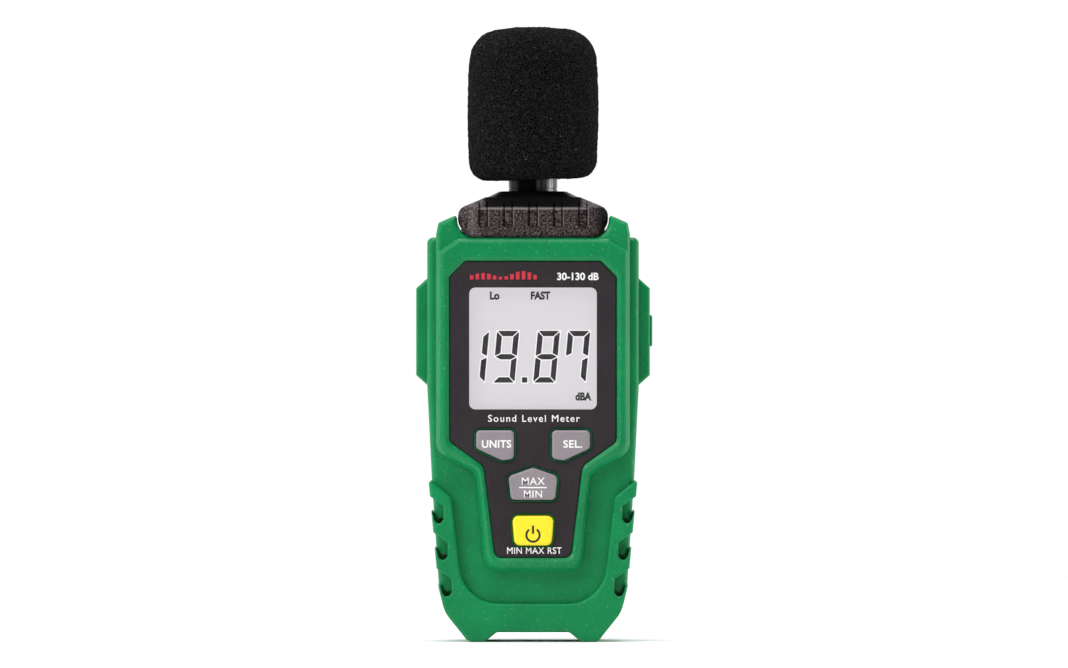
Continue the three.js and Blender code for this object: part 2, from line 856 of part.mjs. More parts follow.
function windscreen() {
  const bore = micRadius + slipGap;
  const boreTop = micTop + grilleHeight + 0.6;
  const side = foamRadius - foamBulge;
  const arc = (x, z, radius, from, to) =>
    Array.from({ length: 5 }, (_, step) => {
      const angle = THREE.MathUtils.degToRad(from + ((to - from) * step) / 4);
      return [x + radius * Math.cos(angle), z + radius * Math.sin(angle)];
    });
  return turned([
    [bore, foamFoot],
    ...arc(side - foamFootCorner, foamFoot + foamFootCorner, foamFootCorner, -90, 0),
    [foamRadius, (foamFoot + foamTop) / 2],
    ...arc(side - foamTopCorner, foamTop - foamTopCorner - 0.6, foamTopCorner, 0, 84),
    [0, foamTop],
    [0, boreTop],
    [bore, boreTop],
  ]);
}

// ------------------------------------------------------------------ fasteners

function caseScrew({ x, z }) {
  const head = headSeat + seat;
  return rod(x, z, screwRadius, -screwReach, head + 0.1, 12)
    .add(rod(x, z, headRadius, head, head + headHeight))
    .subtract(block(x - 1.4, x + 1.4, head + headHeight - 0.9, head + headHeight + 1, z - 0.3, z + 0.3))
    .subtract(block(x - 0.3, x + 0.3, head + headHeight - 0.9, head + headHeight + 1, z - 1.4, z + 1.4));
}

function boardScrew({ x, z }) {
  const head = boardBack + seat;
  return rod(x, z, boardScrewRadius, wallInside + 1.4, head + 0.1, 10)
    .add(rod(x, z, 1.7, head, head + 1.1, 12))
    .subtract(block(x - 1.1, x + 1.1, head + 0.6, head + 2, z - 0.25, z + 0.25))
    .subtract(block(x - 0.25, x + 0.25, head + 0.6, head + 2, z - 1.1, z + 1.1));
}

function tripodInsert() {
  const rear = back - 2 * seat;
  return rod(0, insertZ, insertRadius, rear - insertLength + seat, rear, 24)
    .subtract(rod(0, insertZ, insertBore, rear - insertLength + 1, rear + 1, 24));
}

// ------------------------------------------------------------------ the assembly

const meter = new THREE.Group();

function finish(colour, roughness = 0.6, metalness = 0) {
  return new THREE.MeshStandardMaterial({ color: colour, roughness, metalness, flatShading: true });
}

const greenPlastic = finish(0x1e9155, 0.5);
const blackPlastic = finish(0x2b2728, 0.6);
const panelPlastic = finish(0x352f33, 0.7);
const foam = finish(0x191919, 0.95);
const steel = finish(0xb9b9bd, 0.35, 0.9);
const brass = finish(0xc8a24a, 0.35, 0.9);
const rubber = finish(0x8a8a8a, 0.85);
const carbon = finish(0x202020, 0.9);
const board = finish(0x1d6b3a, 0.55);
const chip = finish(0x222222, 0.5);
const clear = finish(0xe8eef0, 0.1);
const glass = finish(0xd8d8d2, 0.2);
const white = finish(0xf2f2f0, 0.5);
const cellJacket = finish(0x3a4a5a, 0.3, 0.4);
const lead = finish(0x303030, 0.6);

function add(name, body, material) {
  const mesh = new THREE.Mesh(geometryOf(body), material);
  mesh.name = name;
  meter.add(mesh);
}

add('front_case', frontCase(), greenPlastic);
add('rear_case', rearCase(), greenPlastic);
add('nose_cap', noseCap(), blackPlastic);
add('front_panel', frontPanel(), panelPlastic);

add('display_lens', prism(inset(windowCorners, -lensLap), panelBack + seat, panelBack + seat + 1), clear);
add('display_glass', prism(inset(windowCorners, -glassLap), glassFront, glassBack), glass);
add('backlight', backlight(), white);
add('display_holder', displayHolder(), blackPlastic);
add('display_connector', displayConnector(), rubber);
add('main_board', mainBoard(), board);
add('keypad_mat', keypadMat(), rubber);

for (const key of keys) {
  add(`key_${key.name}`, keyCap(key), finish(key.colour, 0.5));
  add(`contact_pill_${key.name}`, contactPill(key), carbon);
}

add('side_key', sideKey(), greenPlastic);
add('side_switch', sideSwitch(), chip);

const chipFoot = boardBack + seat;
const chipZ = (windowFoot + windowTop) / 2;
add('controller_chip', block(-6, 6, chipFoot, chipFoot + 1.5, chipZ - 6, chipZ + 6), chip);
add('amplifier_chip', block(-13, -8, chipFoot, chipFoot + 1.4, chipZ + 6, chipZ + 10), chip);
add('crystal', block(8.5, 12, chipFoot, chipFoot + 1.8, chipZ - 5, chipZ + 5), steel);
const plugZ = windowTop + 1;
add('mic_connector', block(-3, 3, chipFoot, chipFoot + 3.6, plugZ - 3, plugZ + 1), white);

for (let column = 0; column < cellCount; column += 1) {
  add(`battery_cell_${column + 1}`, cell(column), cellJacket);
  add(`contact_spring_${column + 1}`, contactSpring(column), steel);
  add(`contact_plate_${column + 1}`, contactPlate(column), steel);
}
add('battery_door', batteryDoor(), greenPlastic);

const leadFoot = bayTop + bayWall + 0.9;
for (const [name, side] of [['positive', 1], ['negative', -1]]) {
  const x = side * cellPitch * 0.8;
  const route = [
    [x, 5, leadFoot],
    [x, 1, leadFoot + 1.5],
    [x, -2.6, leadFoot + 2],
    [x, chipFoot + 0.1, leadFoot + 2],
  ];
  add(`battery_lead_${name}`, wire(route, 0.6, 8), lead);
}

add('mic_tube', micTube(), steel);
add('mic_grille', micGrille(), steel);
const capsuleTop = micTop - 1;
const boreRadius = micRadius - micWall;
const capsuleFoot = capsuleTop - 6.5;
const capsuleRadius = boreRadius - 1;
add('mic_capsule', turned([
  [0, capsuleFoot],
  [capsuleRadius, capsuleFoot],
  [capsuleRadius, capsuleTop],
  [0, capsuleTop],
], 20), steel);
add('mic_boot', ring(boreRadius - 0.9, boreRadius - 0.1, capsuleTop - 7, capsuleTop - 0.5), rubber);
add('mic_grommet', ring(micRadius + slipGap, 9.7, noseFoot + 0.1, noseFoot + 4), rubber);
add('mic_lead', wire([
  [0, 0, capsuleTop - 6.8],
  [0, 0, micFoot + 8],
  [0, -0.6, micFoot - 1],
  [0, chipFoot + 1.8, micFoot - 5],
  [0, chipFoot + 1.8, plugZ + 1.3],
], 0.8, 20), lead);
add('windscreen', windscreen(), foam);

screwPlaces.forEach((place, index) => add(`case_screw_${index + 1}`, caseScrew(place), steel));
boardScrewPlaces.forEach((place, index) => add(`board_screw_${index + 1}`, boardScrew(place), steel));
add('tripod_insert', tripodInsert(), brass);

export default meter;
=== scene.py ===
"""Builds the visible pieces of a hand-held sound level meter round its moulded frame."""

import math

import bmesh
import bpy
from bpy.props import FloatProperty, FloatVectorProperty, PointerProperty
from mathutils import Matrix, Vector


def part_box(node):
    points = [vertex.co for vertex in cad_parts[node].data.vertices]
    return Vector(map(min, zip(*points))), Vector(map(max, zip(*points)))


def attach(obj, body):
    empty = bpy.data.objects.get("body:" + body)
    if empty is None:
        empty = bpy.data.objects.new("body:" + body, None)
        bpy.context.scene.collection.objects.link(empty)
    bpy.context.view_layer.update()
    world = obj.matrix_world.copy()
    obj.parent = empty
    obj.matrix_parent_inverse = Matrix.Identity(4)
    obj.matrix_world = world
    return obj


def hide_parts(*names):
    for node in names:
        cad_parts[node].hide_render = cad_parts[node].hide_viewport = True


bl_info = {
    "name": "Sound Level Meter",
    "version": (1, 0, 0),
    "blender": (4, 5, 0),
    "location": "View3D > Sidebar > Meter",
    "description": "Models and finishes the pieces of a hand-held sound level meter",
    "category": "Add Mesh",
}

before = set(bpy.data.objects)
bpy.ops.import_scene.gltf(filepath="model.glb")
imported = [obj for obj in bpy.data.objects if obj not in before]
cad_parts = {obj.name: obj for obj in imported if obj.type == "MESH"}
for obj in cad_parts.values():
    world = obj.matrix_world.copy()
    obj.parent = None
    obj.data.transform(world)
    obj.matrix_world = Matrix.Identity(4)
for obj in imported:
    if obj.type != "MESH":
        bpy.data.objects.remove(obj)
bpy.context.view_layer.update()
MM = 0.001
LOW, HIGH = 0, 1
UPRIGHT = (math.pi / 2, 0, 0)


def edge_of(node, axis, end):
    """Where a frame node ends along an axis, in millimetres."""
    return getattr(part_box(node)[end], axis) / MM


def ends_of(node):
    """The low and high corners of a frame node, in millimetres."""
    return [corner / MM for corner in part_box(node)]


def middle_of(node):
    """The centre of a frame node, in millimetres."""
    low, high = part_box(node)
    return (low + high) / 2 / MM


# Places that the frame settles, in millimetres.
PANEL_HALF = edge_of("front_panel", "x", HIGH)
PANEL_FOOT = edge_of("front_panel", "z", LOW)
PANEL_TOP = edge_of("front_panel", "z", HIGH)
PANEL_FRONT = edge_of("front_panel", "y", LOW)
PANEL_BACK = edge_of("front_panel", "y", HIGH)
FACE_Y = edge_of("front_case", "y", LOW)
BOSS_HALF = -edge_of("front_case", "x", LOW)
BACK_Y = edge_of("rear_case", "y", HIGH)
NOSE_HALF = edge_of("nose_cap", "x", HIGH)
NOSE_DEPTH = edge_of("nose_cap", "y", HIGH)
NOSE_FOOT = edge_of("nose_cap", "z", LOW)
NOSE_TOP = edge_of("nose_cap", "z", HIGH)
GLASS_FRONT = edge_of("display_glass", "y", LOW)
TUBE_TOP = edge_of("mic_tube", "z", HIGH)
TUBE_FOOT = edge_of("mic_tube", "z", LOW)
FOAM_FOOT = edge_of("windscreen", "z", LOW)
FOAM_TOP = edge_of("windscreen", "z", HIGH)
FOAM_RADIUS = edge_of("windscreen", "x", HIGH)
WINDOW_LAP = 2.0
WINDOW_HALF = edge_of("display_glass", "x", HIGH) - WINDOW_LAP
WINDOW_FOOT = edge_of("display_glass", "z", LOW) + WINDOW_LAP
WINDOW_TOP = edge_of("display_glass", "z", HIGH) - WINDOW_LAP


def length(name, description, millimetres):
    """A length property whose default is given in millimetres."""
    return FloatProperty(
        name=name, description=description, default=millimetres * MM, unit="LENGTH", precision=5
    )


def colour(name, description, red, green, blue):
    """A colour property whose default is given in the usual 0 to 255 display values."""

    def linear(value):
        share = value / 255
        return share / 12.92 if share <= 0.04045 else ((share + 0.055) / 1.055) ** 2.4

    default = tuple(linear(value) for value in (red, green, blue))
    return FloatVectorProperty(
        name=name, description=description, default=default, subtype="COLOR", size=3, min=0, max=1
    )


class MeterSizes(bpy.types.PropertyGroup):
    """Sizes that the frame leaves to the looks."""

    face_half: length("Face half width", "Centre line to the edge of the raised face", PANEL_HALF + 3.7)
    flank_step: length("Flank step", "How far the flanks stand out past the face", 2.3)
    wall: length("Wall", "Thickness of the moulded walls", 2)
    valley: length("Valley depth", "Raised face down to the valley round the band", 4)
    frame_sink: length("Grip frame sink", "Raised face down to the grip frame", 1.4)
    face_round: length("Face rounding", "Radius along the raised face's edge", 1.1)
    flank_round: length("Flank rounding", "Radius along the flanks' front edge", 1.5)
    back_round: length("Back rounding", "Radius along the back's edge", 2.4)
    nose_gap: length("Nose gap", "Gap between the nose cap and the case", 0.35)
    horn_rise: length("Horn rise", "Height of the horns over the shoulder", 5.85)
    key_gap: length("Key gap", "Gap round each key", 0.3)
    rim_wall: length("Rim wall", "Thickness of the rim round each key", 0.28)
    key_round: length("Key rounding", "Radius along a key's top edge", 0.75)
    groove_width: length("Groove width", "Width of the nose cap's grooves", 2.5)
    groove_pitch: length("Groove pitch", "Distance between the nose cap's grooves", 6.47)
    foam_cell: length("Foam cell", "Size of the windscreen's open cells", 0.7)


class MeterColours(bpy.types.PropertyGroup):
    """Colours of the finishes."""

    case: colour("Case", "Green moulded plastic", 8, 131, 75)
    nose: colour("Nose", "Textured black plastic", 58, 51, 51)
    panel: colour("Panel", "Matt front panel", 48, 43, 46)
    key: colour("Keys", "Grey keys", 141, 133, 138)
    power: colour("Power key", "Yellow key", 252, 231, 34)
    foam: colour("Foam", "Open-cell foam", 16, 15, 16)
    display: colour("Display", "Display's background", 226, 222, 227)
    segment: colour("Segments", "Dark display segments", 52, 48, 51)
    light_ink: colour("Light ink", "Print on the panel and keys", 245, 244, 245)
    red_ink: colour("Red ink", "Plain level bars on the panel", 205, 40, 60)


def sizes(name):
    """A size from the panel, in millimetres."""
    return getattr(bpy.context.scene.meter_sizes, name) / MM


def paint(name):
    """A colour from the panel, with full opacity."""
    return (*getattr(bpy.context.scene.meter_colours, name), 1)


# ---------------------------------------------------------------- outlines

ARC_STEP = math.radians(7)
GRIP_TOP = 42.5


def mirrored(half):
    """A closed outline from its right-hand half, listed from the foot upwards."""
    return half + [(-x, z, radius) for x, z, radius in reversed(half) if x > 0]


def flipped(corners):
    return [(-x, z, radius) for x, z, radius in reversed(corners)]


def rectangle(x0, x1, z0, z1, radius=0.0):
    return [(x0, z0, radius), (x1, z0, radius), (x1, z1, radius), (x0, z1, radius)]


def outline(corners):
    """Points along a closed outline whose corners (x, z, radius) are rounded."""
    points = []
    for index, (x, z, radius) in enumerate(corners):
        corner = Vector((x, z))
        if radius <= 0:
            points.append(corner)
            continue
        before = Vector(corners[index - 1][:2]) - corner
        after = Vector(corners[(index + 1) % len(corners)][:2]) - corner
        half_angle = before.angle(after) / 2
        reach = min(radius / math.tan(half_angle), 0.9 * min(before.length, after.length))
        fitted = reach * math.tan(half_angle)
        before.normalize()
        after.normalize()
        centre = corner + (before + after).normalized() * (fitted / math.sin(half_angle))
        start = corner + before * reach - centre
        turn = math.pi - 2 * half_angle
        sweep = turn if before.cross(after) < 0 else -turn
        steps = max(1, math.ceil(turn / ARC_STEP))
        for step in range(steps + 1):
            points.append(centre + Matrix.Rotation(sweep * step / steps, 2) @ start)
    return points


def inset(corners, distance):
    """The outline with every edge moved inwards, or outwards by a negative distance."""
    moved = []
    for index, (x, z, radius) in enumerate(corners):
        before = Vector(corners[index - 1][:2])
        after = Vector(corners[(index + 1) % len(corners)][:2])
        arriving = (Vector((x, z)) - before).normalized()
        leaving = (after - Vector((x, z))).normalized()
        normal_in = Vector((-arriving.y, arriving.x))
        normal_out = Vector((-leaving.y, leaving.x))
        shift = (normal_in + normal_out) * (distance / (1 + normal_in.dot(normal_out)))
        change = -distance if arriving.cross(leaving) > 0 else distance
        fitted = 0 if radius == 0 else max(radius + change, 0.15)
        moved.append((x + shift.x, z + shift.y, fitted))
    return moved


# ---------------------------------------------------------------- modelling


def deselect_all():
    if bpy.context.object and bpy.context.object.mode != "OBJECT":
        bpy.ops.object.mode_set(mode="OBJECT")
    bpy.ops.object.select_all(action="DESELECT")


def activate(obj):
    deselect_all()
    obj.select_set(True)
    bpy.context.view_layer.objects.active = obj


def lofted(name, rings):
    """A closed solid through rings of equal count, each a list of points in millimetres."""
    deselect_all()
    bpy.ops.mesh.primitive_circle_add(vertices=len(rings[0]), fill_type="NGON")
    obj = bpy.context.object
    obj.name = name
    for vertex, place in zip(obj.data.vertices, rings[0]):
        vertex.co = Vector(place) * MM
    bpy.ops.object.mode_set(mode="EDIT")
    bpy.ops.mesh.select_all(action="SELECT")
    for ring in rings[1:]:
        bpy.ops.mesh.extrude_region_move()
        mesh = bmesh.from_edit_mesh(obj.data)
        top = next(face for face in mesh.faces if face.select)
        for vertex, place in zip(sorted(top.verts, key=lambda one: one.index), ring):
            vertex.co = Vector(place) * MM
        bmesh.update_edit_mesh(obj.data)
    bpy.ops.mesh.select_all(action="SELECT")
    bpy.ops.mesh.normals_make_consistent(inside=False)
    bpy.ops.object.mode_set(mode="OBJECT")
    return obj


def swept(name, corners, levels):
    """An upright outline through the depth: levels are (y, inset) from one end to the other."""
    rings = [[(x, y, z) for x, z in outline(inset(corners, off) if off else corners)] for y, off in levels]
    return lofted(name, rings)


def plate(name, corners, front, rear, front_round=0.0, rear_round=0.0, steps=5):
    """An upright plate with its front and rear edges rounded."""
    levels = []
    for end, radius, way in ((front, front_round, 1), (rear, rear_round, -1)):
        arc = []
        for step in range(steps + 1 if radius else 1):
            angle = math.pi / 2 * step / steps
            arc.append((end + way * radius * (1 - math.sin(angle)), radius * (1 - math.cos(angle))))
        levels += reversed(arc) if way > 0 else arc
    return swept(name, corners, levels)


def crosswise(name, profile, x0, x1):
    """A side profile of (y, z, radius) corners swept across the width."""
    return lofted(name, [[(x, y, z) for y, z in outline(profile)] for x in (x0, x1)])


def turned(name, profile, sides=64, centre=(0, 0)):
    """A profile of (radius, height) turned about an upright axis, with flat ends."""
    spokes = [(math.cos(math.tau * side / sides), math.sin(math.tau * side / sides)) for side in range(sides)]
    rings = [[(centre[0] + r * c, centre[1] + r * s, z) for c, s in spokes] for r, z in profile]
    return lofted(name, rings)


def rod(name, x, z, radius, front, rear, sides=48):
    """A round bar along the depth."""
    deselect_all()
    middle = Vector((x, (front + rear) / 2, z)) * MM
    bpy.ops.mesh.primitive_cylinder_add(
        vertices=sides, radius=radius * MM, depth=(rear - front) * MM, location=middle, rotation=UPRIGHT
    )
    return settle(bpy.context.object, name)


def box(name, x0, x1, y0, y1, z0, z1):
    """A plain block, used as a cutter or a core."""
    deselect_all()
    middle = Vector((x0 + x1, y0 + y1, z0 + z1)) * MM / 2
    extent = Vector((x1 - x0, y1 - y0, z1 - z0)) * MM
    bpy.ops.mesh.primitive_cube_add(size=1, location=middle, scale=extent)
    return settle(bpy.context.object, name)


def settle(obj, name):
    """Puts an object's place into its mesh."""
    obj.name = name
    activate(obj)
    bpy.ops.object.transform_apply(location=True, rotation=True, scale=True)
    return obj


def modify(obj, kind, **settings):
    """Adds a modifier and applies it."""
    activate(obj)
    bpy.ops.object.modifier_add(type=kind)
    modifier = obj.modifiers[-1]
    for setting, value in settings.items():
        setattr(modifier, setting, value)
    bpy.ops.object.modifier_apply(modifier=modifier.name)
    return obj


def combine(obj, other, operation):
    modify(obj, "BOOLEAN", operation=operation, object=other, solver="EXACT")
    bpy.data.objects.remove(other)
    return obj


def union(obj, *others):
    for other in others:
        combine(obj, other, "UNION")
    return obj


def cut(obj, *others):
    for other in others:
        combine(obj, other, "DIFFERENCE")
    return obj


def merged(name, pieces):
    """Several pieces as one mesh."""
    activate(pieces[0])
    for piece in pieces[1:]:
        piece.select_set(True)
    if len(pieces) > 1:
        bpy.ops.object.join()
    pieces[0].name = name
    return pieces[0]


def smooth(obj, degrees=32):
    """Smooth shading that keeps flat faces flat and hard edges hard."""
    activate(obj)
    bpy.ops.object.shade_smooth_by_angle(angle=math.radians(degrees))
    modify(obj, "WEIGHTED_NORMAL", keep_sharp=True)
    return obj


def finish_piece(obj, material, body, slot, *nodes):
    """Gives a finished piece its material and its body, and hides the frame nodes that it stands for."""
    obj.data.materials.clear()
    obj.data.materials.append(material)
    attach(obj, body)
    if nodes:
        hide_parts(*nodes)
    return obj


# ---------------------------------------------------------------- shader maths


class Socket:
    """A shader value that can stand in a Python expression."""

    def __init__(self, finish, socket):
        self.finish = finish
        self.socket = socket

    def maths(self, operation, first, second):
        return self.finish.maths(operation, first, second)

    def __add__(self, other):
        return self.maths("ADD", self, other)

    def __radd__(self, other):
        return self.maths("ADD", other, self)

    def __sub__(self, other):
        return self.maths("SUBTRACT", self, other)

    def __rsub__(self, other):
        return self.maths("SUBTRACT", other, self)

    def __mul__(self, other):
        return self.maths("MULTIPLY", self, other)

    def __rmul__(self, other):
        return self.maths("MULTIPLY", other, self)


class Finish:
    """A node material: constants on the shader's own sockets, patterns linked into a few of them."""

    def __init__(self, name, **constants):
        self.material = bpy.data.materials.new(name)
        self.material.use_nodes = True
        self.tree = self.material.node_tree
        self.shader = self.tree.nodes["Principled BSDF"]
        for socket, value in constants.items():
            self.shader.inputs[socket.replace("_", " ").title().replace("Ior", "IOR")].default_value = value

    def node(self, kind, settings=None, inputs=None, output=0):
        """Adds a node, sets its settings first, then its sockets' values or links."""
        node = self.tree.nodes.new(kind)
        for setting, value in (settings or {}).items():
            setattr(node, setting, value)
        for socket, value in (inputs or {}).items():
            if isinstance(value, Socket):
                self.tree.links.new(value.socket, node.inputs[socket])
            else:
                node.inputs[socket].default_value = value
        return Socket(self, node.outputs[output])

    def maths(self, operation, first, second):
        return self.node("ShaderNodeMath", {"operation": operation}, {0: first, 1: second})

    def feed(self, socket, value):
        self.tree.links.new(value.socket, self.shader.inputs[socket])

    def place(self, scale=(1, 1, 1)):
        """Object coordinates, stretched by scale."""
        coordinates = self.node("ShaderNodeTexCoord", output="Object")
        return self.node("ShaderNodeMapping", None, {"Vector": coordinates, "Scale": scale})

    def along(self, axis):
        """One of the object coordinates, in metres."""
        return self.node("ShaderNodeSeparateXYZ", None, {"Vector": self.place()}, output=axis)

    def noise(self, size_mm, detail=2.0, roughness=0.5, stretch=(1, 1, 1)):
        """Noise from 0 to 1 with grains of about the given size."""
        inputs = {"Vector": self.place(stretch), "Scale": 1 / (size_mm * MM)}
        inputs.update({"Detail": detail, "Roughness": roughness})
        return self.node("ShaderNodeTexNoise", None, inputs)

    def cells(self, size_mm, feature="F1", randomness=1.0):
        """Distance to the nearest cell centre, or to the cell edges."""
        inputs = {"Vector": self.place(), "Scale": 1 / (size_mm * MM), "Randomness": randomness}
        return self.node("ShaderNodeTexVoronoi", {"feature": feature}, inputs)

    def mask(self, value, low, high):
        """0 below low, 1 above high."""
        inputs = {"Value": value, "From Min": low, "From Max": high}
        return self.node("ShaderNodeMapRange", {"clamp": True}, inputs)

    def mix(self, factor, first, second):
        """A blend of two colours."""
        settings = {"data_type": "RGBA", "blend_type": "MIX"}
        return self.node("ShaderNodeMix", settings, {0: factor, 6: first, 7: second}, output=2)

    def bump(self, height, depth_mm, strength=1.0):
        inputs = {"Height": height, "Distance": depth_mm * MM, "Strength": strength}
        self.feed("Normal", self.node("ShaderNodeBump", None, inputs))


def scaled(shade, factor):
    """A colour made lighter or darker."""
    return tuple(min(1.0, value * factor) for value in shade[:3]) + (1,)


def moulded(
    name, shade, roughness=0.45, grain_mm=0.18, depth_mm=0.012, variation=0.12, glint_share=0.0, shine=0.5
):
    """Moulded plastic with a fine spark-eroded grain, faint mottling and optional pale specks of painted
    glint.
    """
    finish = Finish(name, roughness=roughness, specular_ior_level=shine)
    grain = finish.noise(grain_mm, detail=3, roughness=0.6)
    mottle = finish.noise(9, detail=2)
    tone = finish.mask(mottle * 0.5 + grain * 0.5, 0.35, 0.65)
    surface = finish.mix(tone, scaled(shade, 1 - variation), scaled(shade, 1 + variation))
    if glint_share:
        # Painted highlight: pale specks painted in as glints off the grain.
        glint = finish.mask(finish.noise(grain_mm * 1.7, detail=1), 0.66, 0.74) * glint_share
        surface = finish.mix(glint, surface, (0.75, 0.7, 0.71, 1))
    finish.feed("Base Color", surface)
    finish.feed("Roughness", finish.mask(grain, 0, 1) * 0.16 + (roughness - 0.08))
    finish.bump(grain, depth_mm)
    return finish.material


def nose_plastic(name, shade):
    """Coarse spark-eroded black plastic with a near-black polished roof, painted shade on the right cheek,
    and painted highlights along the lip, the grooves' right edges, the shoulders and a patch on the left
    cheek.
    """
    finish = Finish(name, roughness=0.42, specular_ior_level=0.06)
    grain = finish.noise(0.5, detail=3, roughness=0.65)
    surface = finish.mix(finish.mask(grain, 0.4, 0.62), scaled(shade, 0.14), scaled(shade, 2.3))
    # Painted highlight: pale grains painted in as glints.
    glint = finish.mask(grain, 0.6, 0.7) * 0.6
    surface = finish.mix(glint, surface, (0.3, 0.25, 0.25, 1))
    height, across = finish.along("Z"), finish.along("X")
    offset = finish.maths("ABSOLUTE", across, 0)
    above = finish.mask(height, (NOSE_FOOT + 7.1) * MM, (NOSE_FOOT + 7.6) * MM)
    outer = finish.mask(offset, 12.2 * MM, 13.2 * MM)
    # Painted highlight: a pale patch on the left cheek, where the key light falls.
    lit = finish.mask(across, 13.6 * -MM, 15.6 * -MM) * (1 - finish.mask(across, 15.8 * -MM, 17 * -MM))
    # Painted shade: the right cheek is darkened to near-black.
    shaded_cheek = finish.mask(across, (NOSE_HALF - 4.4) * MM, (NOSE_HALF - 1.6) * MM) * (1 - above)
    # The roof's own near-black polished finish, together with the painted shade on the right cheek.
    polish_and_cheek_shade = finish.maths("MAXIMUM", above * (1 - outer), shaded_cheek * 0.85)
    # Painted highlight: a thin pale line along the lip's bevel.
    edge = finish.mask(height, (NOSE_FOOT + 6.75) * MM, (NOSE_FOOT + 6.95) * MM)
    edge = edge * (1 - above) * (1 - finish.mask(offset, 14.2 * MM, 14.8 * MM))
    surface = finish.mix(polish_and_cheek_shade, surface, (0.004, 0.0035, 0.004, 1))
    pitch, half = sizes("groove_pitch"), sizes("groove_width") / 2
    repeat = finish.maths("FLOORED_MODULO", across + 2.5 * pitch * MM, pitch * MM)
    wall = pitch / 2 + half
    # Painted highlight: a thin pale line along each groove's right-hand edge.
    groove_highlight = finish.mask(repeat, wall * MM, (wall + 0.06) * MM)
    groove_highlight = groove_highlight * (1 - finish.mask(repeat, (wall + 0.26) * MM, (wall + 0.34) * MM))
    groove_highlight = groove_highlight * (1 - finish.mask(offset, 14.6 * MM, 14.8 * MM))
    groove_highlight = groove_highlight * finish.mask(height, (NOSE_FOOT + 2.3) * MM, (NOSE_FOOT + 2.9) * MM)
    groove_highlight = groove_highlight * (1 - above) * (1 - shaded_cheek)
    # All the painted highlights together: lip line, pale shoulders, groove edges and the left cheek patch.
    rim = finish.maths("MAXIMUM", edge * 0.55, above * outer * 0.14)
    rim = finish.maths("MAXIMUM", rim, finish.maths("MAXIMUM", groove_highlight * 0.3, lit * grain * 0.4))
    finish.feed("Base Color", finish.mix(rim, surface, (0.33, 0.3, 0.31, 1)))
    finish.feed("Roughness", 0.48 + polish_and_cheek_shade * 0.35)
    finish.bump(grain * (1 - polish_and_cheek_shade * 0.8), 0.05)
    return finish.material


def printed(name, shade, roughness=0.5):
    """Screen-printed ink: nearly flat, with a slightly uneven film."""
    finish = Finish(name, roughness=roughness)
    film = finish.noise(0.5, detail=2)
    finish.feed("Base Color", finish.mix(film, scaled(shade, 0.94), scaled(shade, 1.03)))
    finish.bump(film, 0.004)
    return finish.material


def brushed(name, shade, roughness, stretch, depth_mm=0.004, painted_left_shade=None):
    """Metal with fine lines running one way; with the shade argument given, its left half gets painted shade
    and its right half a painted lit side with brighter streaks.
    """
    finish = Finish(name, roughness=roughness, metallic=1.0)
    lines = finish.noise(0.12, detail=3, stretch=stretch)
    surface = finish.mix(lines, scaled(shade, 0.8), scaled(shade, 1.15))
    if painted_left_shade:
        # Painted shade on the left half and painted light on the right half, split by the object's X.
        lit = finish.mask(finish.along("X"), 0.6 * MM, 1.2 * MM)
        streaks = finish.mix(finish.mask(lines, 0.4, 0.6), scaled(shade, 0.35), scaled(shade, 1.7))
        surface = finish.mix(lit, scaled(shade, painted_left_shade), streaks)
    finish.feed("Base Color", surface)
    finish.feed("Roughness", finish.mask(lines, 0, 1) * 0.18 + (roughness - 0.07))
    finish.bump(lines, depth_mm)
    return finish.material


def open_cell_foam(name, shade):
    """Fine open-cell foam: painted shade in the pores, paler struts and a few struts with painted glints."""
    finish = Finish(name, roughness=0.95, specular_ior_level=0.05)
    cell = sizes("foam_cell")
    pores = finish.cells(cell, "DISTANCE_TO_EDGE")
    strut = 1 - finish.mask(pores, 0.0, 0.32)
    broken = finish.noise(cell * 1.4, detail=3, roughness=0.65)
    web = finish.mask(strut * 0.6 + broken * 0.7, 0.45, 0.95)
    # Painted shade: the pores are near-black, the struts paler.
    surface = finish.mix(web, scaled(shade, 0.02), scaled(shade, 2.9))
    # Painted highlight: a few bright specks as glints on the struts.
    spark = finish.mask(finish.noise(cell * 0.8, detail=1), 0.71, 0.77) * 0.5
    finish.feed("Base Color", finish.mix(spark, surface, (0.16, 0.15, 0.16, 1)))
    finish.bump(web, 0.22, 1.0)
    return finish.material


def glowing_display_film(name, shade):
    """The display's pale reflective background, made to glow with emission as painted light so that it reads
    evenly bright.
    """
    finish = Finish(name, roughness=0.35, specular_ior_level=0.2, emission_strength=0.88)
    film = finish.noise(14, detail=1)
    finish.feed("Base Color", finish.mix(film, scaled(shade, 0.2), scaled(shade, 0.22)))
    finish.feed("Emission Color", finish.mix(film, scaled(shade, 0.99), scaled(shade, 1.0)))
    finish.bump(finish.noise(0.2), 0.002)
    return finish.material


def clear_plastic(name):
    """A clear window with faint polishing marks."""
    finish = Finish(name, roughness=0.05, alpha=0.06)
    haze = finish.noise(6, detail=3)
    finish.feed("Base Color", finish.mix(haze, (0.05, 0.052, 0.053, 1), (0.08, 0.08, 0.08, 1)))
    finish.feed("Roughness", finish.mask(haze, 0, 1) * 0.05 + 0.03)
    return finish.material


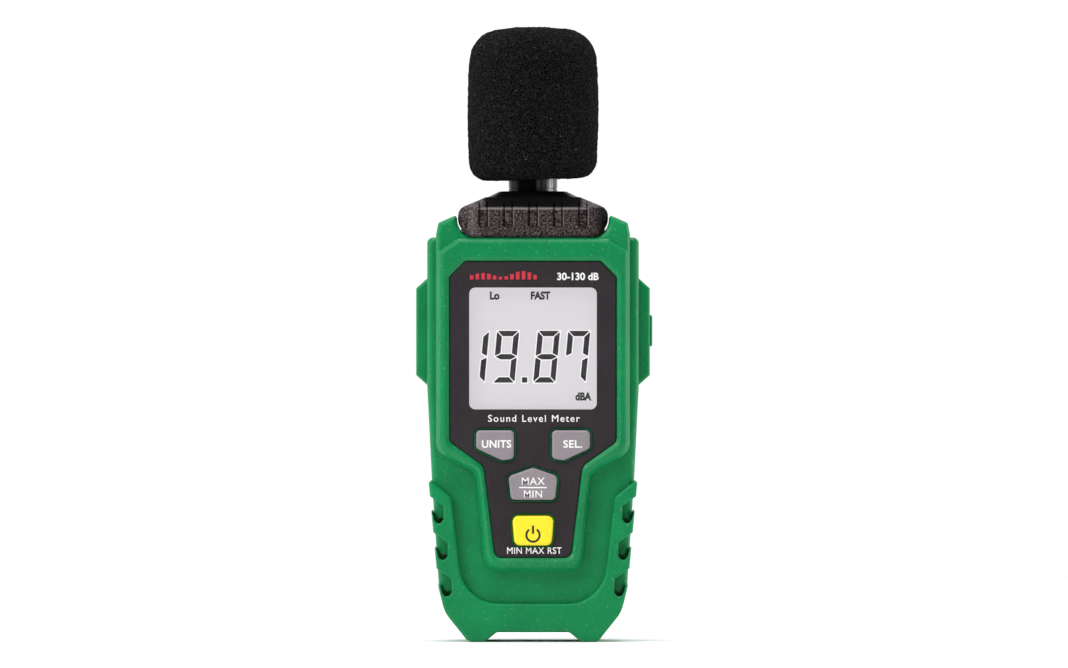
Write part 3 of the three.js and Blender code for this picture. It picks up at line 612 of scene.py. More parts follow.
def circuit_board(name):
    """Green solder mask with tracks showing through and gold pads."""
    finish = Finish(name, roughness=0.35, coat_weight=0.3)
    lanes = finish.node("ShaderNodeTexBrick", {"offset": 0.3}, {
        "Vector": finish.place((1, 1, 0)),
        "Scale": 1 / (2.5 * MM),
        "Color1": (1, 1, 1, 1),
        "Color2": (0.6, 0.6, 0.6, 1),
        "Mortar": (0, 0, 0, 1),
        "Mortar Size": 0.05,
    })
    tracks = finish.mask(finish.noise(1.6, detail=0, stretch=(1, 1, 0.2)), 0.49, 0.51)
    mask = finish.mix(tracks, (0.012, 0.13, 0.045, 1), (0.03, 0.22, 0.08, 1))
    finish.feed("Base Color", finish.mix(finish.mask(lanes, 0.98, 1) * 0.1, mask, (0.5, 0.36, 0.1, 1)))
    finish.bump(tracks, 0.02)
    return finish.material


def cell_jacket(name):
    """A battery's printed sleeve, dark with one paler end, and bright metal ends."""
    finish = Finish(name, roughness=0.28)
    band = finish.mask(finish.along("Z"), 47 * MM, 47.1 * MM)
    grain = finish.noise(0.4, detail=2)
    sleeve = finish.mix(band, (0.02, 0.045, 0.09, 1), (0.55, 0.36, 0.12, 1))
    finish.feed("Base Color", finish.mix(grain * 0.2, sleeve, (0.3, 0.3, 0.32, 1)))
    finish.feed("Metallic", band * 0.4 + 0.35)
    finish.bump(grain, 0.004)
    return finish.material


# ---------------------------------------------------------------- case outlines


def shoulder():
    return NOSE_FOOT - sizes("nose_gap")


def band_side():
    half = sizes("face_half")
    return [(0, 18.3, 0), (PANEL_HALF - 8.85, 18.3, 4.2), (PANEL_HALF - 6.55, 43.6, 3), (half, 49.3, 4.5)]


def face_corners():
    half = sizes("face_half")
    top = shoulder()
    rise = sizes("horn_rise")
    saddle = NOSE_HALF + sizes("nose_gap")
    return mirrored(band_side() + [
        (half, top + 0.6, 1),
        (half - 0.6, top + rise - 2.1, 0.8),
        (saddle, top + rise, 0.5),
        (saddle, top, 4.95),
        (0, top, 0),
    ])


def plateau_corners():
    """The flat top of the raised face, cut off at the corners below the horns."""
    half = sizes("face_half") - 0.35
    top = shoulder()
    side = [(x - 0.35 if x else 0, z + 0.35, radius) for x, z, radius in band_side()[:-1]]
    return mirrored(side + [
        (half, 49.5, 4.5),
        (half, top - 3.4, 1.4),
        (half - 5.2, top - 0.02, 1.6),
        (0, top - 0.02, 0),
    ])


def side_corners(lean, step, crown):
    """The silhouette below the shoulder, shared by the flanks and the grip frame."""
    half = sizes("face_half")
    return [
        (0, 2.5, 0),
        (9.4, 2.5, 1.2),
        (12.6, 0, 1.2),
        (16.8, 0, 2.5),
        (half - 2.2, 7.7, 9),
        (half - lean, 14.3, 12),
        (half + step, GRIP_TOP, crown),
    ]


def flank_half():
    return sizes("face_half") + sizes("flank_step")


def boss_foot():
    return shoulder() - 38.4


def flank_corners():
    return mirrored(side_corners(0.75, 1.1, 20) + [
        (flank_half(), boss_foot(), 10),
        (flank_half(), shoulder(), 1.6),
        (0, shoulder(), 0),
    ])


def grip_corners():
    half = sizes("face_half")
    return mirrored(side_corners(0.6, 2, 0.6) + [
        (half - 4.1, 37.6, 1),
        (half - 5.9, 22.3, 12),
        (half - 7.2, 10, 10),
        (0, 10, 0),
    ])


def inside_corners():
    half = sizes("face_half")
    wall = sizes("wall")
    grip_wall = wall + 0.9
    return mirrored([
        (0, 2.5 + wall, 0),
        (16.8, 2.5 + wall, 3),
        (half - 0.6 - grip_wall, 14.3, 6),
        (half + 1.1 - grip_wall, GRIP_TOP, 8),
        (flank_half() - wall, boss_foot(), 8),
        (flank_half() - wall, shoulder() - wall, 2),
        (0, shoulder() - wall, 0),
    ])


def boss_corners(side):
    wall = sizes("wall")
    slope = 2.6 / 2.9
    root = flank_half() - wall
    top = shoulder() - 10.6
    right = [
        (root, boss_foot() - wall * slope, 0),
        (BOSS_HALF, boss_foot() + 2.6, 0.6),
        (BOSS_HALF, top - 2.6, 0.6),
        (root, top + wall * slope, 0),
    ]
    return right if side > 0 else flipped(right)


def panel_corners():
    return mirrored([
        (0, PANEL_FOOT, 0),
        (PANEL_HALF - 11.75, PANEL_FOOT, 1.8),
        (PANEL_HALF - 8.85, PANEL_FOOT + 23.7, 3.5),
        (PANEL_HALF, PANEL_FOOT + 30, 2),
        (PANEL_HALF, PANEL_TOP - 4, 0.8),
        (PANEL_HALF - 4, PANEL_TOP, 0.8),
        (0, PANEL_TOP, 0),
    ])


def window_corners():
    return rectangle(-WINDOW_HALF, WINDOW_HALF, WINDOW_FOOT, WINDOW_TOP, 1.6)


def key_corners():
    """Each front key's outline."""
    side = [
        (PANEL_HALF - 6.7, PANEL_FOOT + 28.2, 1.2),
        (PANEL_HALF - 6.7, PANEL_FOOT + 32.9, 1.2),
        (4.9, PANEL_FOOT + 32.9, 1.2),
        (4.9, PANEL_FOOT + 25.5, 1.2),
        (8, PANEL_FOOT + 25, 1.2),
    ]
    return {
        "units": flipped(side),
        "select": side,
        "max_min": mirrored([
            (5.75, PANEL_FOOT + 14.8, 1.2),
            (6.4, PANEL_FOOT + 21, 1.4),
            (0, PANEL_FOOT + 23.2, 1),
        ]),
        "power": mirrored([(4.8, PANEL_FOOT + 3, 1.6), (5.45, PANEL_FOOT + 10.7, 1.6)]),
    }


# ---------------------------------------------------------------- case pieces


POCKETS, POCKET_PITCH, POCKET_LEAN = 3, 9.5, 1.05
TOP_POCKET = GRIP_TOP - 12.2
BOSS_DEPTH = 7.5
SEAM = 0.12


def pocket_places():
    """The inner foot of each finger pocket on the right-hand side."""
    return [
        (sizes("face_half") - 2 - POCKET_LEAN * row, TOP_POCKET - POCKET_PITCH * row)
        for row in range(POCKETS)
    ]


def grip_pockets():
    """Cutters for the finger pockets through the grip frame's long edges."""
    mouth = FACE_Y + sizes("frame_sink")
    flare = [(mouth - 1, -0.5), (mouth, -0.35), (mouth + 0.35, 0), (BACK_Y + 1, 0)]
    cutters = []
    for x, z in pocket_places():
        corners = [
            (x, z + 1.4, 1),
            (x + 1.4, z, 0.9),
            (x + 2.45, z + 1.5, 0.9),
            (x + 2.85, z + 3.7, 0.25),
            (x + 5.3, z + 3.3, 0),
            (x + 5.3, z + 8.85, 0),
            (x, z + 4.9, 0.4),
        ]
        cutters += [swept("pocket", side, flare) for side in (corners, flipped(corners))]
    return cutters


def pocket_floors():
    """Cutters that deepen each finger pocket along its rounded floor."""
    floor = FACE_Y + sizes("valley") + 1.7
    cutters = []
    for x, z in pocket_places():
        crescent = [
            (x - 0.05, z + 1.7, 0.4),
            (x + 1.4, z - 0.05, 0.9),
            (x + 2.5, z + 1.5, 0.9),
            (x + 3.1, z + 3.7, 0.1),
            (x + 2.2, z + 2.9, 0.4),
            (x + 1.35, z + 1.5, 0.7),
            (x + 0.5, z + 2.1, 0.2),
        ]
        cutters += [plate("crescent", side, FACE_Y, floor) for side in (crescent, flipped(crescent))]
    return cutters


def half_shell(name, front, rear):
    """The flanks, raised face or back, grip frame and bosses of one half of the case."""
    if front < 0:
        valley = front + sizes("valley")
        shell = plate(name, flank_corners(), valley, rear, sizes("flank_round"), SEAM)
        face = plate("face", face_corners(), front + 1.1, rear, sizes("face_round") + 0.4, SEAM)
        union(face, plate("plateau", plateau_corners(), front, rear, sizes("face_round") + 1))
        grip = plate("grip", grip_corners(), front + sizes("frame_sink"), rear, 0.9, SEAM)
        cut(grip, *grip_pockets())
        bosses = [plate("boss", boss_corners(side), -BOSS_DEPTH, rear, 0.8, SEAM) for side in (-1, 1)]
    else:
        shell = plate(name, flank_corners(), front, rear, SEAM, sizes("back_round"))
        face = plate("face", face_corners(), front, rear, SEAM, 1.6)
        grip = cut(plate("grip", grip_corners(), front, rear - 1, SEAM, 2), *grip_pockets())
        bosses = [plate("boss", boss_corners(side), front, BOSS_DEPTH, SEAM, 0.8) for side in (-1, 1)]
    return union(shell, face, grip, *bosses)


class METER_OT_front_case(bpy.types.Operator):
    """Model the front half of the case"""

    bl_idname = "meter.front_case"
    bl_label = "Front Case"

    def execute(self, context):
        case = half_shell("front_case_shell", FACE_Y, 0)
        cut(case, *pocket_floors())
        valley_inside = FACE_Y + sizes("valley") + sizes("wall")
        wall_inside = GLASS_FRONT - 0.05
        face_side = band_side() + [(sizes("face_half"), shoulder(), 0), (0, shoulder(), 0)]
        face_inside = inset(mirrored(face_side), 2)
        cut(case, plate("inside", inside_corners(), valley_inside, 1))
        cut(case, plate("face_inside", face_inside, wall_inside, valley_inside + 1))
        floor = PANEL_BACK + 0.05
        bed = inset(panel_corners(), -0.2)
        flare = [(FACE_Y - 1, -1.7), (FACE_Y - 0.02, -1.15), (FACE_Y + 0.08, -1.0), (FACE_Y + 0.42, -0.3),
                 (FACE_Y + 0.55, -0.1), (FACE_Y + 0.8, 0), (floor, 0)]
        cut(case, swept("bed", bed, flare))
        for corners in key_corners().values():
            rim = inset(corners, -sizes("key_gap") - sizes("rim_wall"))
            union(case, plate("rim", rim, PANEL_FRONT + 0.45, floor + 0.3, front_round=0.1))
            cut(case, plate("hole", inset(corners, -sizes("key_gap")), FACE_Y - 1, wall_inside + 1))
        cut(case, plate("window", inset(window_corners(), -1.1), FACE_Y, wall_inside + 1))
        low, high = ends_of("side_key")
        cut(case, box("pocket", low.x - 1, BOSS_HALF - 2, low.y - 0.5, 1, low.z - 1.2, high.z + 1.2))
        slot = (low.y + 0.5, high.y - 0.5, low.z + 0.5, high.z - 0.5)
        cut(case, box("slot", BOSS_HALF - 3, BOSS_HALF + 1, *slot))
        cut(case, turned("tube_hole", [(6.55, 96), (6.55, 112)]))
        smooth(case)
        finish_piece(case, MATERIALS["case"], "root", "green_plastic", "front_case")
        return {"FINISHED"}


class METER_OT_rear_case(bpy.types.Operator):
    """Model the rear half of the case with its battery bay"""

    bl_idname = "meter.rear_case"
    bl_label = "Rear Case"

    def execute(self, context):
        case = half_shell("rear_case_shell", 0, BACK_Y)
        cut(case, plate("inside", inside_corners(), -1, BACK_Y - sizes("wall")))
        low, high = ends_of("battery_door")
        gap, seat = 0.25, 1.25
        recess = rectangle(low.x - gap, high.x + gap, low.z - gap, high.z + gap, 2)
        bay = rectangle(low.x + seat, high.x - seat, low.z + seat, high.z - seat, 0.5)
        screws = [middle_of(f"case_screw_{number}") for number in (1, 2, 3, 4)]
        for place in screws:
            union(case, rod("tube", place.x, place.z, 3.4, 0.05, BACK_Y - 1))
        union(case, plate("bay_wall", inset(bay, -1.9), 1, BACK_Y - 0.05))
        cut(case, plate("bay", bay, 2.2, BACK_Y + 1))
        flare = [(BACK_Y - 1.8, 0), (BACK_Y - 0.3, 0), (BACK_Y, -0.25), (BACK_Y + 1, -1)]
        cut(case, swept("recess", recess, flare))
        socket = middle_of("tripod_insert")
        union(case, rod("socket_boss", 0, socket.z, 6.2, BACK_Y - 10, BACK_Y - 0.05))
        cut(case, rod("socket", 0, socket.z, 4.35, BACK_Y - 8.1, BACK_Y + 1))
        for place in screws:
            cut(case, rod("shank", place.x, place.z, 1.3, -1, BACK_Y))
            cut(case, rod("head", place.x, place.z, 2.5, 6, BACK_Y + 1))
        cut(case, turned("tube_hole", [(6.55, 96), (6.55, 112)]))
        smooth(case)
        finish_piece(case, MATERIALS["case"], "root", "green_plastic", "rear_case")
        return {"FINISHED"}


class METER_OT_battery_door(bpy.types.Operator):
    """Model the battery door with its thumb ridges"""

    bl_idname = "meter.battery_door"
    bl_label = "Battery Door"

    def execute(self, context):
        low, high = ends_of("battery_door")
        mouth = high.y - 1.7
        corners = rectangle(low.x, high.x, low.z, high.z, 1.75)
        door = plate("battery_door_lid", corners, mouth, high.y, rear_round=0.45)
        thumb = rectangle(-9, 9, high.z - 15, high.z - 4, 3)
        pocket = [(high.y - 0.6, 1.2), (high.y - 0.35, 0.7), (high.y - 0.1, 0.2), (high.y + 0.3, -0.3)]
        cut(door, swept("thumb", thumb, pocket))
        for row in range(4):
            z = high.z - 6.5 - 2 * row
            ridge = rectangle(-7, 7, z - 0.45, z + 0.45, 0.44)
            union(door, plate("ridge", ridge, high.y - 1, high.y - 0.1, 0, 0.3))
        for x in (-10.9, 10.9):
            union(door, box("tab", x - 2, x + 2, low.y, mouth + 0.5, low.z + 1.45, low.z + 2.45))
        union(door, box("latch", -4, 4, low.y, mouth + 0.5, high.z - 2.45, high.z - 1.45))
        smooth(door)
        finish_piece(door, MATERIALS["case"], "battery_door", "green_plastic", "battery_door")
        return {"FINISHED"}


GROOVES = 5


class METER_OT_nose(bpy.types.Operator):
    """Model the grooved nose cap"""

    bl_idname = "meter.nose"
    bl_label = "Nose Cap"

    def execute(self, context):
        lip = NOSE_FOOT + 7.3
        roof = NOSE_TOP - 1.6
        collar = 12.2
        corners = mirrored([
            (0, NOSE_FOOT, 0),
            (NOSE_HALF, NOSE_FOOT, 4.6),
            (NOSE_HALF, lip - 0.3, 2.8),
            (collar, roof, 0.4),
            (0, roof, 0),
        ])
        depth = NOSE_DEPTH
        cap = plate("nose_cap_shell", corners, -depth, depth, 1.1, 1.1)
        profile = [
            (-depth, NOSE_FOOT - 1, 0),
            (depth, NOSE_FOOT - 1, 0),
            (depth, lip, 0.7),
            (collar, roof, 0.5),
            (-collar, roof, 0.5),
            (-depth, lip, 0.7),
        ]
        combine(cap, crosswise("roof", profile, -NOSE_HALF - 1, NOSE_HALF + 1), "INTERSECT")
        plan = outline(rectangle(-NOSE_HALF, NOSE_HALF, -depth, depth, 4.5))
        tower = lofted("plan", [[(x, y, z) for x, y in plan] for z in (NOSE_FOOT - 1, NOSE_TOP)])
        combine(cap, tower, "INTERSECT")
        self.collar(collar, roof)
        tongue = plate("tongue", inset(corners, -0.3), 1 - depth, depth - 1)
        foot = box("foot", -NOSE_HALF, NOSE_HALF, -depth, depth, NOSE_FOOT - 1, NOSE_FOOT + 1.7)
        union(cap, combine(tongue, foot, "INTERSECT"))
        for index in range(GROOVES):
            x = (index - (GROOVES - 1) / 2) * sizes("groove_pitch")
            for facing in (1, -1):
                cut(cap, self.groove(x, -facing, depth))
        cut(cap, turned("hollow", [(10, NOSE_FOOT - 1), (10, lip - 1.5)]))
        cut(cap, turned("bore", [(6.5, NOSE_FOOT - 1), (6.5, NOSE_TOP - 0.3), (6.9, NOSE_TOP + 1)]))
        modify(cap, "BEVEL", width=0.2 * MM, segments=2, limit_method="ANGLE", angle_limit=math.radians(38))
        smooth(cap)
        finish_piece(cap, MATERIALS["nose"], "root", "black_plastic", "nose_cap")
        return {"FINISHED"}

    def groove(self, x, way, depth):
        """A cutter for one groove: a shallow lane with a deeper gutter along each side."""
        half = sizes("groove_width") / 2
        slot = rectangle(x - half, x + half, NOSE_FOOT + 2.1, NOSE_TOP + 3, half * 0.9)
        lane = swept("lane", slot, [
            (way * (depth + 2), -0.2),
            (way * depth, -0.18),
            (way * (depth - 0.25), 0),
            (way * (depth - 0.7), 0),
        ])
        near, far = sorted((way * (depth + 2.5), way * (depth - 1.7)))
        for left, right in ((x - half + 0.03, x - half + 0.45), (x + half - 0.38, x + half - 0.03)):
            gutter = rectangle(left, right, NOSE_FOOT + 2.6, NOSE_TOP + 5, 0.15)
            union(lane, plate("gutter", gutter, near, far))
        return lane

    def collar(self, radius, roof):
        """The smooth collar between the cap's roof and the tube."""
        ring = turned("nose_collar", [
            (radius, roof - 1.2),
            (radius, roof - 0.2),
            (radius - 0.25, roof + 0.05),
            (radius - 3.3, NOSE_TOP - 0.08),
            (radius - 3.6, NOSE_TOP),
        ], 96)
        cut(ring, turned("bore", [(6.5, roof - 2), (6.5, NOSE_TOP - 0.3), (6.9, NOSE_TOP + 1)], 96))
        smooth(ring)
        finish_piece(ring, MATERIALS["collar"], "root", "black_plastic")


class METER_OT_microphone(bpy.types.Operator):
    """Model the microphone tube and its slotted grille"""

    bl_idname = "meter.microphone"
    bl_label = "Microphone"

    def execute(self, context):
        outer, bore, flange = 6.35, 5.6, 8.0
        ring = NOSE_TOP + 0.55
        tube = turned("mic_tube_sleeve", [
            (flange, TUBE_FOOT), (flange, TUBE_FOOT + 1.5), (outer, TUBE_FOOT + 1.55), (outer, ring),
            (outer - 0.14, ring + 0.08), (outer - 0.14, ring + 0.3), (outer, ring + 0.38),
            (outer, TUBE_TOP - 0.15), (outer - 0.15, TUBE_TOP),
        ], 96)
        cut(tube, turned("bore", [(bore, TUBE_FOOT - 1), (bore, TUBE_TOP + 1)], 96))
        smooth(tube)
        finish_piece(tube, MATERIALS["tube"], "root", "tube_metal", "mic_tube")
        low, high = ends_of("mic_grille")
        grille = turned("mic_grille_cap", [
            (outer, low.z), (outer, high.z - 0.5), (outer - 0.15, high.z - 0.15), (outer - 0.5, high.z),
        ], 96)
        cut(grille, turned("hollow", [(outer - 1.1, low.z - 1), (outer - 1.1, high.z - 0.8)], 96))
        for x in (-3, -1, 1, 3):
            reach = math.sqrt((outer - 1.4) ** 2 - x * x)
            cut(grille, box("slot", x - 0.45, x + 0.45, -reach, reach, high.z - 2, high.z + 1))
        smooth(grille)
        finish_piece(grille, MATERIALS["grille"], "root", "tube_metal", "mic_grille")
        return {"FINISHED"}


class METER_OT_windscreen(bpy.types.Operator):
    """Model the foam windscreen"""

    bl_idname = "meter.windscreen"
    bl_label = "Windscreen"

    def execute(self, context):
        bore, bore_top = 6.45, TUBE_TOP + 3.4
        side = FOAM_RADIUS - 0.35
        top_corner, foot_corner = 8.6, 4.9
        step = 0.4
        profile = [(0.4, bore_top), (bore, bore_top)]
        profile += [(bore, bore_top - share * (bore_top - FOAM_FOOT)) for share in (0.25, 0.5, 0.75, 1)]
        bottom = side - foot_corner
        outer = [(bore + step * k, FOAM_FOOT) for k in range(1, round((bottom - bore) / step))]
        for k in range(round(foot_corner * math.pi / 2 / step) + 1):
            angle = -math.pi / 2 + k * step / foot_corner
            height = FOAM_FOOT + foot_corner * (1 + math.sin(angle))
            outer.append((bottom + foot_corner * math.cos(angle), height))
        low, high = FOAM_FOOT + foot_corner, FOAM_TOP - top_corner - 0.6
        rows = round((high - low) / step)
        for k in range(1, rows):
            share = k / rows
            outer.append((side + 0.35 * math.sin(math.pi * share), low + share * (high - low)))
        crown = math.radians(84)
        for k in range(round(top_corner * crown / step) + 1):
            angle = min(k * step / top_corner, crown)
            radius = side - top_corner + top_corner * math.cos(angle)
            outer.append((radius, high + top_corner * math.sin(angle)))
        last_radius, last_height = outer[-1]
        for k in range(1, round(last_radius / step)):
            radius = last_radius - step * k
            rise = 1 - (radius / last_radius) ** 2
            outer.append((radius, last_height + (FOAM_TOP - last_height) * rise))
        foam = turned("windscreen_foam", profile + outer, 260)
        activate(foam)
        for kind, size, strength in (("CLOUDS", 5, 0.35), ("VORONOI", 1.1, 0.42)):
            texture = bpy.data.textures.new("foam", kind)
            texture.noise_scale = size * MM
            modify(foam, "DISPLACE", texture=texture, strength=strength * MM, texture_coords="LOCAL")
        tilt = 0.028
        for vertex in foam.data.vertices:
            share = 1 - min(1, (vertex.co.z / MM - FOAM_FOOT) / (FOAM_TOP - FOAM_FOOT))
            vertex.co.z += tilt * vertex.co.x * share
        bpy.ops.object.shade_smooth()
        finish_piece(foam, MATERIALS["foam"], "windscreen", "foam", "windscreen")
        return {"FINISHED"}


# ---------------------------------------------------------------- panel, display, keys


class METER_OT_panel(bpy.types.Operator):
    """Model the front panel"""

    bl_idname = "meter.panel"
    bl_label = "Front Panel"

    def execute(self, context):
        panel = plate("front_panel_plate", panel_corners(), PANEL_FRONT, PANEL_BACK, front_round=0.25)
        edge = [(PANEL_FRONT - 1, -0.6), (PANEL_FRONT, -0.18), (PANEL_FRONT + 0.18, 0), (PANEL_BACK + 1, 0)]
        cut(panel, swept("window", window_corners(), edge))
        for corners in key_corners().values():
            hole = inset(corners, -sizes("key_gap") - sizes("rim_wall") - 0.06)
            cut(panel, swept("hole", hole, [(y, off / 2) for y, off in edge]))
        smooth(panel)
        finish_piece(panel, MATERIALS["panel"], "root", "panel_plastic", "front_panel")
        return {"FINISHED"}


def segments(wide, tall, thick):
    """The seven segments of one upright digit, mitred where they meet."""
    half, slope = tall / 2, thick / 2
    upper_left = [(0, half), (thick, half + slope), (thick, tall - thick), (0, tall)]
    top = [(0, tall), (thick, tall - thick), (wide - thick, tall - thick), (wide, tall)]
    middle = [(0, half), (thick, half - slope), (wide - thick, half - slope), (wide, half),
              (wide - thick, half + slope), (thick, half + slope)]
    lower_left = [(x, tall - z) for x, z in reversed(upper_left)]
    return {
        "a": top,
        "b": [(wide - x, z) for x, z in reversed(upper_left)],
        "c": [(wide - x, z) for x, z in reversed(lower_left)],
        "d": [(x, tall - z) for x, z in reversed(top)],
        "e": lower_left,
        "f": upper_left,
        "g": middle,
    }


DIGITS = [("bc", -18.5), ("abcdfg", -10.7), ("abcdefg", -0.1), ("abcf", 7.75)]


def inlay(name, corners, y, thickness=0.02):
    """A thin raised mark in front of y."""
    return swept(name, corners, [(y - thickness, 0), (y, 0)])


def display_bars(name, gap, y):
    """The lit segments of the reading, with a gap left round each."""
    foot, film = WINDOW_FOOT + 6.8, 0.03
    slant = math.tan(math.radians(5.3))
    shapes = segments(wide=6.0, tall=13.7, thick=1.65)
    bars = []
    for lit, left in DIGITS:
        for letter in lit:
            corners = [(left + x + z * slant, foot + z, 0.12) for x, z in shapes[letter]]
            bars.append(inlay(name, inset(corners, gap), y, film))
    point = rectangle(-3 + gap, -1.35 - gap, foot + gap, foot + 1.65 - gap, 0.2)
    bars.append(inlay(name, point, y, film))
    return merged(name, bars)


def lettering(name, words, x, z, height, y, weight=0.0, squeeze=1.0, spacing=1.0):
    """Flat raised letters on an upright face, height millimetres tall."""
    deselect_all()
    bpy.ops.object.text_add(rotation=UPRIGHT)
    text = bpy.context.object
    text.data.body = words
    text.data.size = height * 1.37 * MM
    text.data.align_x = "CENTER"
    text.data.space_character = spacing
    text.data.offset = weight * MM
    text.data.extrude = 0.015 * MM
    text.data.resolution_u = 6
    activate(text)
    bpy.ops.object.convert(target="MESH")
    text = bpy.context.object
    text.scale.x = squeeze
    text.location = Vector((x, y, z)) * MM
    return settle(text, name)


class METER_OT_display(bpy.types.Operator):
    """Model what the display shows"""

    bl_idname = "meter.display"
    bl_label = "Display"

    def execute(self, context):
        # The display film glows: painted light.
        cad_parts["display_glass"].data.materials.clear()
        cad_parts["display_glass"].data.materials.append(MATERIALS["display"])
        # A pale outline round each segment, glowing as painted light.
        halo = display_bars("display_halo", -0.16, GLASS_FRONT - 0.01)
        finish_piece(halo, MATERIALS["halo"], "root", "display_glass")
        reading = display_bars("display_reading", 0.13, GLASS_FRONT - 0.05)
        y = GLASS_FRONT - 0.06
        words = [
            lettering("word", "Lo", -10, WINDOW_TOP - 3.0, 2.0, y, 0.13, 0.88),
            lettering("word", "FAST", 1.9, WINDOW_TOP - 3.0, 2.0, y, 0.13, 0.84),
            lettering("word", "dBA", 13, WINDOW_FOOT + 2.4, 2.0, y, 0.13, 0.84),
        ]
        marks = merged("display_reading", [reading] + words)
        finish_piece(marks, MATERIALS["segment"], "root", "display_glass")
        return {"FINISHED"}


class METER_OT_print(bpy.types.Operator):
    """Print the panel: level bars, measuring range, title and key legend"""

    bl_idname = "meter.print"
    bl_label = "Panel Print"

    def execute(self, context):
        y = PANEL_FRONT - 0.005
        words = [
            lettering("word", "30-130 dB", 11.6, PANEL_TOP - 4.7, 1.9, y, 0.07),
            lettering("word", "Sound Level Meter", 0.2, WINDOW_FOOT - 3.2, 1.85, y, 0.02, 1.0, 1.22),
            lettering("word", "MIN MAX RST", 0.3, PANEL_FOOT + 0.85, 1.75, y, 0.02, 0.92, 1.06),
        ]
        finish_piece(merged("panel_print", words), MATERIALS["light_ink"], "root", "panel_plastic")
        bars = []
        foot = PANEL_TOP - 4.6
        for index in range(12):
            left = -16.4 + index * 1.5
            tall = 0.7 + 1.7 * (0.5 + 0.5 * math.sin(0.9 * index)) * (0.5 + index / 22)
            bars.append(inlay("level", rectangle(left, left + 0.9, foot, foot + tall, 0.15), y))
        finish_piece(merged("panel_level_bars", bars), MATERIALS["red_ink"], "root", "panel_plastic")
        return {"FINISHED"}


class METER_OT_keys(bpy.types.Operator):
    """Model the four front keys with their legends"""

    bl_idname = "meter.keys"
    bl_label = "Front Keys"

    def execute(self, context):
        finishes = {"power": ("power", "key_yellow")}
        for name, corners in key_corners().items():
            low, high = ends_of(f"key_{name}")
            material, slot = finishes.get(name, ("key", "key_grey"))
            flange = GLASS_FRONT + 0.05
            key = plate(f"key_{name}_cap", corners, low.y, flange + 0.5, front_round=sizes("key_round"))
            union(key, plate("flange", inset(corners, -0.8), flange, flange + 1))
            pill = middle_of(f"contact_pill_{name}")
            union(key, rod("stem", pill.x, pill.z, 2.6, flange + 0.9, high.y))
            smooth(key)
            finish_piece(key, MATERIALS[material], f"key_{name}", slot, f"key_{name}")
            legend = merged(f"key_{name}_legend", self.legend(name, low.y - 0.005))
            ink = "black_ink" if name == "power" else "light_ink"
            finish_piece(legend, MATERIALS[ink], f"key_{name}", slot)
        return {"FINISHED"}

    def legend(self, name, y):
        """The marks on one key."""
        if name == "units":
            return [lettering("word", "UNITS", -9.5, PANEL_FOOT + 28.4, 2.0, y, 0.07, 0.98, 1.04)]
        if name == "select":
            return [lettering("word", "SEL.", 10.3, PANEL_FOOT + 28.4, 2.0, y, 0.07, 1.02, 1.08)]
        if name == "max_min":
            rule = rectangle(-3.6, 3.6, PANEL_FOOT + 17.85, PANEL_FOOT + 18.2)
            return [
                lettering("word", "MAX", 0, PANEL_FOOT + 18.75, 2.0, y, 0.02, 1.0, 1.08),
                lettering("word", "MIN", 0, PANEL_FOOT + 15.45, 1.95, y, 0.02, 1.0, 1.08),
                inlay("rule", rule, y),
            ]
        centre, radius, stroke = PANEL_FOOT + 5.7, 1.72, 0.55
        start, sweep, steps = 125, 290, 24
        angles = [math.radians(start + step * (sweep / steps)) for step in range(steps + 1)]

        def arc(reach, turns):
            return [(math.cos(turn) * reach, centre + math.sin(turn) * reach, 0) for turn in turns]

        ring = arc(radius + stroke / 2, angles) + arc(radius - stroke / 2, reversed(angles))
        stem = rectangle(-stroke / 2, stroke / 2, centre + 0.3, centre + 2.5, 0.2)
        return [inlay("ring", ring, y), inlay("stem", stem, y)]


class METER_OT_side_key(bpy.types.Operator):
    """Model the side key"""

    bl_idname = "meter.side_key"
    bl_label = "Side Key"

    def execute(self, context):
        low, high = ends_of("side_key")
        lap = 0.8
        profile = rectangle(low.y + lap, high.y - lap, low.z + lap, high.z - lap, 0.8)
        root, top = BOSS_HALF - 2.1, high.x
        rings = []
        for x, off in ((root - 0.1, 0), (top - 0.4, 0), (top - 0.2, 0.08), (top - 0.06, 0.25), (top, 0.5)):
            rings.append([(x, y, z) for y, z in outline(inset(profile, off) if off else profile)])
        key = lofted("side_key_cap", rings)
        union(key, box("flange", root - 1, root, low.y, high.y, low.z, high.z))
        middle = middle_of("side_key")
        union(key, box("stem", low.x, root - 0.5, middle.y - 1, middle.y + 1, middle.z - 1.5, middle.z + 1.5))
        smooth(key)
        finish_piece(key, MATERIALS["case"], "side_key", "green_plastic", "side_key")
        return {"FINISHED"}


# ---------------------------------------------------------------- finishes

MATERIALS = {}
INNER_FINISHES = {
    "steel": ["crystal", "mic_capsule"]
    + [f"contact_{kind}_{number}" for kind in ("spring", "plate") for number in (1, 2, 3)]
    + [f"case_screw_{number}" for number in (1, 2, 3, 4)]
    + [f"board_screw_{number}" for number in (1, 2)],
    "rubber": ["keypad_mat", "mic_boot", "mic_grommet", "display_connector"],
    "carbon": [f"contact_pill_{name}" for name in ("units", "select", "max_min", "power")],
    "board": ["main_board"],
    "chip": ["controller_chip", "amplifier_chip", "side_switch"],
    "white": ["backlight", "mic_connector"],
    "holder": ["display_holder"],
    "brass": ["tripod_insert"],
    "jacket": ["battery_cell_1", "battery_cell_2", "battery_cell_3"],
    "lead": ["battery_lead_positive", "battery_lead_negative", "mic_lead"],
    "clear": ["display_lens"],
}


